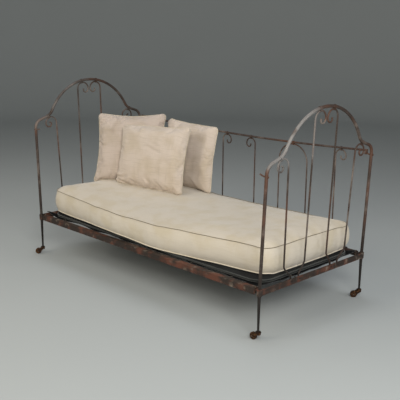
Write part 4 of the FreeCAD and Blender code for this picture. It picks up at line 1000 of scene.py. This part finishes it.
@dataclass
class UnderPad:
    """Thin grey pad between the canvas and the mattress, its edge bound in lighter tape that is partly a
    painted highlight.
    """

    palette: Palette
    slump: Slump
    roll: float = 4.5 * MM
    tape: float = 3.4 * MM

    def make(self) -> None:
        """Builds the pad's cover, flat below at its edges and pressed thin above them."""
        low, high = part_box("under_pad")
        patch = Patch(outline_at("under_pad", low.z + self.roll), 120, 54)
        rim = patch.flat[patch.rim()]
        outward = patch.outward()
        edge = patch.depth()
        inset = patch.flat + patch.spread(-outward * 3 * MM)
        wobble = 1.2 * MM * Waves(11, 0.11).at(laid_flat(inset)) * smooth(edge / 0.05)
        lift = 1.5 * MM * (1 - smooth(edge / 0.03))
        top = np.column_stack([inset, high.z - 1.2 * MM - lift + np.minimum(wobble, 0)])
        bottom = np.column_stack([inset, low.z + 0.4 * MM + lift])
        rows = []
        for share in (0.2, 0.4, 0.6, 0.8):
            bulge = 3 * MM * math.sin(math.pi * share)
            height = low.z + 2 * MM + share * (high.z - low.z - 4 * MM)
            rows.append(np.column_stack([rim - outward * (3 * MM - bulge), np.full(len(rim), height)]))
        self.cover = Cover(patch, top, bottom, np.array(rows))
        points = self.cover.points
        high_share = np.clip((points[:, 2] - low.z) / (high.z - low.z), 0, 1)
        inside = smooth(edge[self.cover.origin] / 0.09)
        points[:, 2] -= self.slump.at(points) * np.maximum(high_share, inside)
        self.piece = self.cover.piece("pad_cover", self.palette.slots["pad_cloth"])

    def finish(self) -> None:
        points = points_of(self.piece)
        finish_soft(self.piece)
        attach(self.piece, "under_pad")
        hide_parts("under_pad")
        # The lighter tape along both rims is partly a painted highlight on the pad's edge.
        loops = [points[self.cover.top_rim] - upward(self.tape * 0.4),
                 points[self.cover.low_rim] + upward(self.tape)]
        tape = cording_tool().run("pad_binding", loops, self.palette.pad_edge, {"Radius": self.tape})
        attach(tape, "under_pad")


@dataclass
class Mattress:
    """Feather-topped linen mattress: a bowed front, a bulging side band between two corded seams, and a top
    that stands fuller at both ends than in the middle, where people sit."""

    palette: Palette
    slump: Slump
    band: float = 141 * MM
    crown: float = 20 * MM
    puff: float = 26 * MM
    crown_reach: float = 120 * MM
    bulge: float = 14 * MM
    bottom_tuck: float = 26 * MM
    front_tuck: float = 18 * MM
    lifted: float = 20 * MM
    corner_lift: float = 8 * MM
    corner_reach: float = 0.16
    pushed: float = 8 * MM
    track: float = 0.335
    track_width: float = 0.05
    underfold: float = 0.12
    rows: int = 12
    cord: float = 2.0 * MM

    def tucked(self, share: float, outward: np.ndarray) -> np.ndarray:
        """How far the band lies inside its widest outline.

        Args:
            share: share of the band's height.
            outward: direction out of the outline at each rim point.

        Returns:
            The distance at each rim point.
        """
        to_front = np.clip(-outward[:, 1], 0, 1) ** 2
        low = self.bottom_tuck + (self.front_tuck - self.bottom_tuck) * to_front
        return self.bulge * max(2 * share - 1, 0) ** 2.4 + low * max(1 - 2 * share, 0) ** 2.2

    def drift(self, rim: np.ndarray, outward: np.ndarray) -> np.ndarray:
        """How far the long sides of a soft mattress stray from its pattern.

        Args:
            rim: points of the outline.
            outward: direction out of the outline at each of them.

        Returns:
            A step (x, y) for each rim point.
        """
        x = rim[:, 0]
        front = (-26 * bell(x - 0.14, 0.2) - 8 * bell(x + 0.36, 0.15)
                 + 12 * smooth((x - 0.42) / 0.2)) * smooth(-outward[:, 1] * 2)
        back = -18 * bell(x, 0.35) * smooth(outward[:, 1] * 2)
        return np.column_stack([np.zeros(len(x)), (front + back) * MM])

    def raised(self, rim: np.ndarray, outward: np.ndarray) -> np.ndarray:
        """How far the lower seam rides up: along the front, where the pad folds under it, and at the corners.

        Args:
            rim: points of the outline.
            outward: direction out of the outline at each of them.

        Returns:
            The height at each rim point.
        """
        half = np.abs(rim).max(axis=0)
        away = np.linalg.norm(np.abs(rim) - half, axis=1)
        front = smooth(-outward[:, 1] * 2) * (0.15 + bell(rim[:, 0] + 0.33, 0.42))
        return self.lifted * front + self.corner_lift * bell(away, self.corner_reach)

    def hollow(self, flat: np.ndarray) -> np.ndarray:
        """How far the top is pressed down where the right cushion is pushed along the back.

        Args:
            flat: points of the top, seen from above.

        Returns:
            The depth at each point.
        """
        along = smooth((flat[:, 0] + 0.12) / 0.4)
        return self.pushed * along * bell(flat[:, 1] - self.track, self.track_width)

    def make(self, workshop: Workshop) -> None:
        """Builds the cover and hands it to the workshop."""
        low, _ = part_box("mattress")
        patch = Patch(outline_at("mattress", low.z + self.band / 2), 132, 62)
        outward = patch.outward()
        wander = self.drift(patch.flat[patch.rim()], outward)
        flat = patch.flat + patch.spread(wander)
        rim = flat[patch.rim()]
        rise = 1 - (1 - np.clip(patch.depth() / self.crown_reach, 0, 1)) ** 2.8
        fuller = -0.3 + np.abs(flat[:, 0] / 0.9) ** 1.3
        top_flat = flat + patch.spread(-outward * self.tucked(1.0, outward)[:, None])
        low_flat = flat + patch.spread(-outward * self.tucked(0.0, outward)[:, None])
        height = (self.crown + self.puff * fuller) * rise - self.hollow(flat)
        top = np.column_stack([top_flat, low.z + self.band + height])
        raised = self.raised(rim, outward)
        under = patch.spread(raised[:, None])[:, 0] * (1 - smooth(patch.depth() / self.underfold))
        bottom = np.column_stack([low_flat, low.z + under])
        rows = []
        for number in range(1, self.rows):
            share = number / self.rows
            rows.append(np.column_stack([rim - outward * self.tucked(share, outward)[:, None],
                                         low.z + share * self.band + raised * (1 - share) ** 1.5]))
        self.patch = patch
        self.cover = Cover(patch, top, bottom, np.array(rows))
        self.cover.points[:, 2] -= self.slump.at(self.cover.points)
        self.piece = self.cover.piece("mattress_cover", self.palette.slots["mattress_linen"])
        count = len(patch.flat)
        held = list(range(count, 2 * count)) + patch.rim()
        workshop.take(self.piece, Filling(pressure=2.0, reach=7 * MM, tension=20, bending=2.0), held)

    def finish(self) -> None:
        low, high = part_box("mattress")
        points = points_of(self.piece)
        count = len(self.patch.flat)
        share = smooth((points[:, 2] - low.z) / 0.03)
        lumps = Waves(21, 0.17).at(points) * 2.2 * MM + Waves(22, 0.06).at(points) * 0.7 * MM
        points[:count, 2] += lumps[:count]
        side = points[2 * count:]
        folds = Waves(23, 0.055).at(side * np.array([1, 1, 0.25])) * 1.5 * MM
        middle = np.array([(low.x + high.x) / 2, (low.y + high.y) / 2, 0])
        away = (side - middle) * np.array([1, 1, 0])
        away /= np.linalg.norm(away, axis=1)[:, None]
        points[2 * count:] += away * folds[:, None] * share[2 * count:, None]
        points[:, 2] = np.maximum(points[:, 2], low.z - self.slump.at(points))
        put_points(self.piece, points)
        finish_soft(self.piece)
        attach(self.piece, "mattress")
        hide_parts("mattress")
        outward = laid_flat(self.patch.outward())
        high_seam = points[self.cover.top_rim]
        low_seam = points[self.cover.low_rim] + upward(3 * MM)
        # Two rows of real stitching; the lower one, just above the piping in thread darker than the linen,
        # also draws the shaded groove there as painted shade.
        stitched = [high_seam - upward(6 * MM), low_seam + outward * 5 * MM + upward(7 * MM)]
        proud = 1.5 * MM * (outward + upward(1))
        # The upper cord's dark colour is painted shade along the top seam.
        trims = [cording_tool().run("mattress_cording", [evened(high_seam) + proud],
                                   self.palette.seam_shade_cord, {"Radius": self.cord}),
                 # Pale piping: a painted highlight along the lower edge.
                 cording_tool().run("mattress_piping", [evened(low_seam) + outward * 3 * MM],
                                   self.palette.piping, {"Radius": 1.5 * self.cord}),
                 StitchTool().run("mattress_stitches", stitched, self.palette.thread,
                                  {"Pitch": 7 * MM, "Length": 5 * MM, "Thickness": 0.8 * MM})]
        for trim in trims:
            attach(trim, "mattress")


# ---------------------------------------------------------------- cushions

@dataclass(frozen=True)
class Crease:
    """One crease in a cushion's face: where its middle is and how long and deep it is.

    x and y go from -1 to 1 across and up the cushion; angle is in degrees from across."""

    x: float
    y: float
    length: float
    width: float
    angle: float
    depth: float


@dataclass
class Cushion:
    """Square linen cushion with a knife edge and corded seam, let down on the mattress along its bottom.

    yaw and lean are in degrees, corners and sides say in millimetres how far each one is moved or drawn in,
    and settling is the share of its height that follows the mattress."""

    palette: Palette
    node: str
    yaw: float
    lean: float
    seed: int
    corners: tuple[tuple[float, float], ...] = ((0, 0), (0, 0), (0, 0), (0, 0))
    sides: tuple[float, float, float, float] = (9, 9, 9, 9)
    corner_radius: float = 30 * MM
    back_share: float = 44 / 105
    pinch: float = 0.2
    cells: int = 78
    cord: float = 2.3 * MM
    cord_gap: float = 0.6 * MM
    cloth_gap: float = 0.5 * MM
    settling: float = 0.42
    linen: str = "cushion_linen"
    creases: tuple[Crease, ...] = ()

    def turned(self) -> Matrix:
        """Rotation from the cushion's own axes to the daybed's."""
        facing = Matrix.Rotation(math.radians(self.yaw + 90), 3, "Z")
        return facing @ Matrix.Rotation(math.radians(90 - self.lean), 3, "X")

    def measure(self) -> tuple[np.ndarray, np.ndarray, np.ndarray]:
        """Box of the CAD solid in the cushion's own axes.

        Returns:
            The rotation as an array, the low corner and the high corner.
        """
        turn = np.array(self.turned())
        own = points_of(frame["nodes"][self.node]) @ turn
        return turn, own.min(axis=0), own.max(axis=0)

    def make(self, workshop: Workshop) -> None:
        """Sews the cover flat, in its own axes, and hands it to the workshop."""
        self.turn, self.low, self.high = self.measure()
        half = (self.high - self.low)[:2] / 2
        radius = self.corner_radius
        outline = []
        for (way_x, way_y), start in zip(CORNER_WAYS, (180, 270, 0, 90)):
            for degree in range(start, start + 91, 10):
                outline.append(((half[0] - radius) * way_x + radius * math.cos(math.radians(degree)),
                                (half[1] - radius) * way_y + radius * math.sin(math.radians(degree))))
        outline.append(outline[0])
        patch = Patch(np.array(outline), self.cells, self.cells)
        self.patch = patch
        flat = patch.flat
        edge = patch.depth()
        start = 9 * MM * smooth(edge / 0.05)
        noise = Waves(self.seed, 0.05).at(laid_flat(flat)) * 1.0 * MM
        noise *= smooth(edge / 0.03)
        top = np.column_stack([flat, start + noise])
        bottom = np.column_stack([flat, -start + noise * 0.5])
        self.cover = Cover(patch, top, bottom, None)
        self.piece = self.cover.piece(self.node + "_cover", self.palette.slots[self.linen])
        workshop.take(self.piece, Filling(pressure=5.0, reach=80 * MM, tension=15, bending=0.3))

    def shares(self, points: np.ndarray) -> tuple[np.ndarray, np.ndarray]:
        """Place of each point across and up the cushion, from -1 to 1."""
        half = np.abs(points[:, :2]).max(axis=0)
        return points[:, 0] / half[0], points[:, 1] / half[1]

    def warp(self, points: np.ndarray) -> np.ndarray:
        """Moves the corners and draws in the sides, as an eight-point sheet bends.

        Args:
            points: the cover in its own axes, centred.

        Returns:
            The moved points.
        """
        u, v = self.shares(points)
        moved = points.copy()
        for (way_u, way_v), (step_x, step_y) in zip(CORNER_WAYS, self.corners):
            beyond = np.maximum(u * way_u + v * way_v - 1, 0)
            weight = (0.25 * (1 + u * way_u) * (1 + v * way_v) * beyond) ** 1.5
            moved[:, 0] += weight * step_x * MM
            moved[:, 1] += weight * step_y * MM
        bottom, right, top, left = (amount * MM for amount in self.sides)
        moved[:, 1] += 0.5 * (1 - u * u) * ((1 - v) * bottom - (1 + v) * top)
        moved[:, 0] += 0.5 * (1 - v * v) * ((1 - u) * left - (1 + u) * right)
        return moved

    def crease(self, points: np.ndarray) -> np.ndarray:
        """Presses the creases into the front face."""
        u, v = self.shares(points)
        made = points.copy()
        for one in self.creases:
            way = math.radians(one.angle)
            along = (u - one.x) * math.cos(way) + (v - one.y) * math.sin(way)
            across = -(u - one.x) * math.sin(way) + (v - one.y) * math.cos(way)
            across = across + 0.06 * np.sin(along / max(one.length, 0.05) * 2.5)
            ends = np.exp(-(along / one.length) ** 4)
            depth = bell(across, one.width) * ends
            ridge = 0.6 * bell(across - 1.8 * one.width, one.width) * ends
            made[:, 2] -= (depth - ridge) * one.depth * MM * (points[:, 2] > 0)
        return made

    def settle(self, world: np.ndarray, bed: BVHTree) -> np.ndarray:
        """Lets the bottom edge down on the mattress and flattens what would sink into it.

        Args:
            world: the cover in the daybed's axes.
            bed: the mattress as a surface.

        Returns:
            The settled points.
        """
        across = self.patch.across
        edge = world[self.cover.top_rim[:across + 1]]
        gaps = np.array([point[2] - self.under(bed, point) - self.cord - self.cord_gap for point in edge])
        columns = self.cover.origin % (across + 1)
        rows = self.cover.origin // (across + 1)
        share = smooth((self.settling - rows / self.patch.deep) / self.settling)
        world[:, 2] -= gaps[columns] * share
        for point in world:
            point[2] = max(point[2], self.under(bed, point) + self.cloth_gap)
        return world

    def under(self, bed: BVHTree, point: np.ndarray) -> float:
        """Height of the mattress under a point."""
        hit = bed.ray_cast(Vector((point[0], point[1], ABOVE_ALL)), Vector((0, 0, -1)))[0]
        return hit.z if hit is not None else -1.0

    def finish(self, bed: BVHTree) -> None:
        """Args:
            bed: the mattress as a surface.
        """
        points = points_of(self.piece)
        rim = self.cover.top_rim
        drift = self.patch.spread((points[rim] - self.cover.points[rim])[:, :2])
        points[:, :2] -= (1 - self.pinch) * drift[self.cover.origin]
        points = self.warp(points)
        depth = self.high[2] - self.low[2]
        front = points[:, 2] > 0
        points[front, 2] *= depth * (1 - self.back_share) / points[:, 2].max()
        points[~front, 2] *= depth * self.back_share / max(-points[:, 2].min(), 1e-6)
        points = self.crease(points)
        points[:, 2] += Waves(self.seed + 1, 0.07).at(points) * 1.6 * MM * smooth(np.abs(points[:, 2]) / 0.02)
        middle = (self.low + self.high) / 2
        middle[2] = self.low[2] + depth * self.back_share
        world = (points + middle) @ self.turn.T
        world = self.settle(world, bed)
        put_points(self.piece, world)
        finish_soft(self.piece)
        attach(self.piece, self.node)
        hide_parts(self.node)
        cord = cording_tool().run(self.node + "_cording", [world[self.cover.top_rim]],
                                 self.palette.cushion_cord, {"Radius": self.cord})
        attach(cord, self.node)


# ---------------------------------------------------------------- studio

@dataclass
class Studio:
    """Pale floor and backdrop, soft lights, and the camera.

    The camera's heading, its tilt down and its roll are in degrees, and its lens is in millimetres."""

    camera_place: tuple[float, float, float] = (3.204, -3.056, 1.564)
    camera_heading: float = -45.5
    camera_down: float = 13.9
    camera_roll: float = 0.53
    lens: float = 68.04

    def make(self) -> None:
        """Builds the studio."""
        self.ground()
        self.lamp("key", (4.0, -2.8, 3.0), (0.0, 0.0, 0.4), 2.0, 182.0, "#fffdf8")
        self.lamp("front fill", (-0.6, -4.6, 2.5), (-0.4, 0.0, 0.4), 2.0, 73.0, "#fff6e6")
        self.lamp("left fill", (-3.6, -2.6, 3.0), (-0.6, 0.0, 0.4), 1.8, 26.0, "#fff6e6")
        self.lamp("right fill", (4.4, 0.6, 2.0), (0.5, 0.0, 0.4), 1.8, 34.0, "#fdfdff")
        self.lamp("overhead", (-0.6, 0.4, 4.4), (0.0, 0.0, 0.0), 2.2, 36.0, "#f6f9ff")
        world = bpy.data.worlds.new("Studio air")
        bpy.context.scene.world = world
        world.use_nodes = True
        sky = world.node_tree.nodes["Background"]
        sky.inputs["Color"].default_value = linear("#dfe3e6")
        sky.inputs["Strength"].default_value = 0.12
        bpy.context.scene.view_settings.view_transform = "Standard"
        self.camera()

    def ground(self) -> None:
        """Round floor that rises into a backdrop on every side."""
        profile = [(0.01, 0.0), (2.0, 0.0), (4.5, 0.0), (7.0, 0.0)]
        profile += [(7.0 + 2.2 * math.sin(turn), 2.2 * (1 - math.cos(turn)))
                    for turn in np.linspace(0, math.pi / 2, 13)[1:]]
        profile += [(9.2, 5.0)]
        count = 96
        turns = np.arange(count) * 2 * math.pi / count
        points = [(far * math.cos(turn), far * math.sin(turn), up) for far, up in profile for turn in turns]
        faces = [(row * count + place, (row + 1) * count + place,
                  (row + 1) * count + (place + 1) % count, row * count + (place + 1) % count)
                 for row in range(len(profile) - 1) for place in range(count)]
        faces.append(tuple(range(count)))
        floor = mesh_of("studio_floor", np.array(points), faces, None,
                        Paint("Painted floor, pale", "#b9bebe").make())

    def lamp(self, name: str, place: tuple[float, float, float], target: tuple[float, float, float],
             size: float, power: float, colour: str) -> None:
        """Adds a square soft light.

        Args:
            name: the light's name.
            place: where it hangs.
            target: where it points.
            size: side of the light, in metres.
            power: watts.
            colour: sRGB hex code of its light.
        """
        light = bpy.data.lights.new(name, "AREA")
        light.color = linear(colour)[:3]
        light.size = size
        light.energy = power
        holder = put_in_scene(name, light)
        holder.location = place
        holder.rotation_euler = (Vector(target) - Vector(place)).to_track_quat("-Z", "Y").to_euler()

    def camera(self) -> None:
        """Adds the camera."""
        heading, down, roll = (math.radians(turn) for turn in
                               (self.camera_heading, self.camera_down, self.camera_roll))
        ahead = Vector((math.sin(heading) * math.cos(down), math.cos(heading) * math.cos(down),
                        -math.sin(down)))
        right = Vector((math.cos(heading), -math.sin(heading), 0))
        up = right.cross(ahead)
        across = right * math.cos(roll) + up * math.sin(roll)
        above = up * math.cos(roll) - right * math.sin(roll)
        data = bpy.data.cameras.new("camera")
        data.lens = self.lens
        data.sensor_width = 36.0
        holder = put_in_scene("camera", data)
        holder.matrix_world = Matrix.LocRotScale(Vector(self.camera_place),
                                                 Matrix((across, above, -ahead)).transposed(), None)
        bpy.context.scene.camera = holder


def make_cushions(palette: Palette) -> list[Cushion]:
    """Lists the three cushions with their places and shapes."""
    # The left cushion wears the darker copy of the linen: painted shade.
    left = Cushion(palette, "left_back_cushion", -49.8, 17.3, 31, linen="shaded_cushion_linen",
                   corners=((-24, 0), (0, 0), (14, 14), (-4, 8)), sides=(4, 8, 5, 6),
                   creases=(Crease(-0.36, 0.62, 0.32, 0.07, 84, 12), Crease(-0.84, 0.24, 0.16, 0.035, -12, 7),
                            Crease(-0.82, 0.1, 0.18, 0.035, -8, 6), Crease(-0.86, 0.68, 0.14, 0.035, 35, 8),
                            Crease(-0.72, 0.78, 0.15, 0.035, 65, 8), Crease(-0.56, 0.82, 0.14, 0.035, 85, 8),
                            Crease(-0.14, 0.82, 0.15, 0.035, 88, 8), Crease(0.02, 0.84, 0.14, 0.035, 95, 6),
                            Crease(-0.55, 0.42, 0.3, 0.06, 20, 5), Crease(-0.5, -0.86, 0.2, 0.04, 95, 6)))
    right = Cushion(palette, "right_back_cushion", -90.0, 9.2, 41,
                    corners=((0, 0), (4, -4), (6, -6), (-14, 12)), sides=(3, 4, 0, 0),
                    creases=(Crease(-0.55, -0.2, 0.6, 0.06, 95, 6),))
    front = Cushion(palette, "front_cushion", -77.0, 13.1, 51,
                    corners=((-34, 4), (8, -8), (18, 16), (-36, -20)), sides=(8, 0, -2, -22),
                    creases=(Crease(-0.8, -0.7, 0.2, 0.04, 38, 9), Crease(-0.7, -0.84, 0.16, 0.035, 20, 8),
                             Crease(0.0, -0.82, 0.16, 0.045, 96, 9), Crease(0.14, -0.86, 0.12, 0.035, 84, 6),
                             Crease(-0.88, 0.8, 0.12, 0.035, 40, 6), Crease(0.1, 0.22, 0.3, 0.05, 2, 3)))
    return [left, right, front]


def surface_of(piece: bpy.types.Object) -> BVHTree:
    """The piece's finished surface, modifiers included, for resting things on it."""
    graph = bpy.context.evaluated_depsgraph_get()
    return BVHTree.FromObject(piece, graph)


def main() -> None:
    """Builds everything in order and reports each piece."""
    logging.basicConfig(level=logging.INFO, format="%(name)s: %(message)s")
    palette = Palette()
    LOG.info("dressed %d CAD pieces", Ironwork(palette).dress())
    Studio().make()
    slump = Slump()
    Sling(palette, slump).make()
    LOG.info("canvas laced to the rails")
    workshop = Workshop()
    pad = UnderPad(palette, slump)
    pad.make()
    mattress = Mattress(palette, slump)
    mattress.make(workshop)
    cushions = make_cushions(palette)
    for cushion in cushions:
        cushion.make(workshop)
    workshop.run()
    LOG.info("covers filled")
    pad.finish()
    mattress.finish()
    bed = surface_of(mattress.piece)
    for cushion in cushions:
        cushion.finish(bed)
        LOG.info("%s rests on the mattress", cushion.node)


if __name__ == "__main__":
    main()
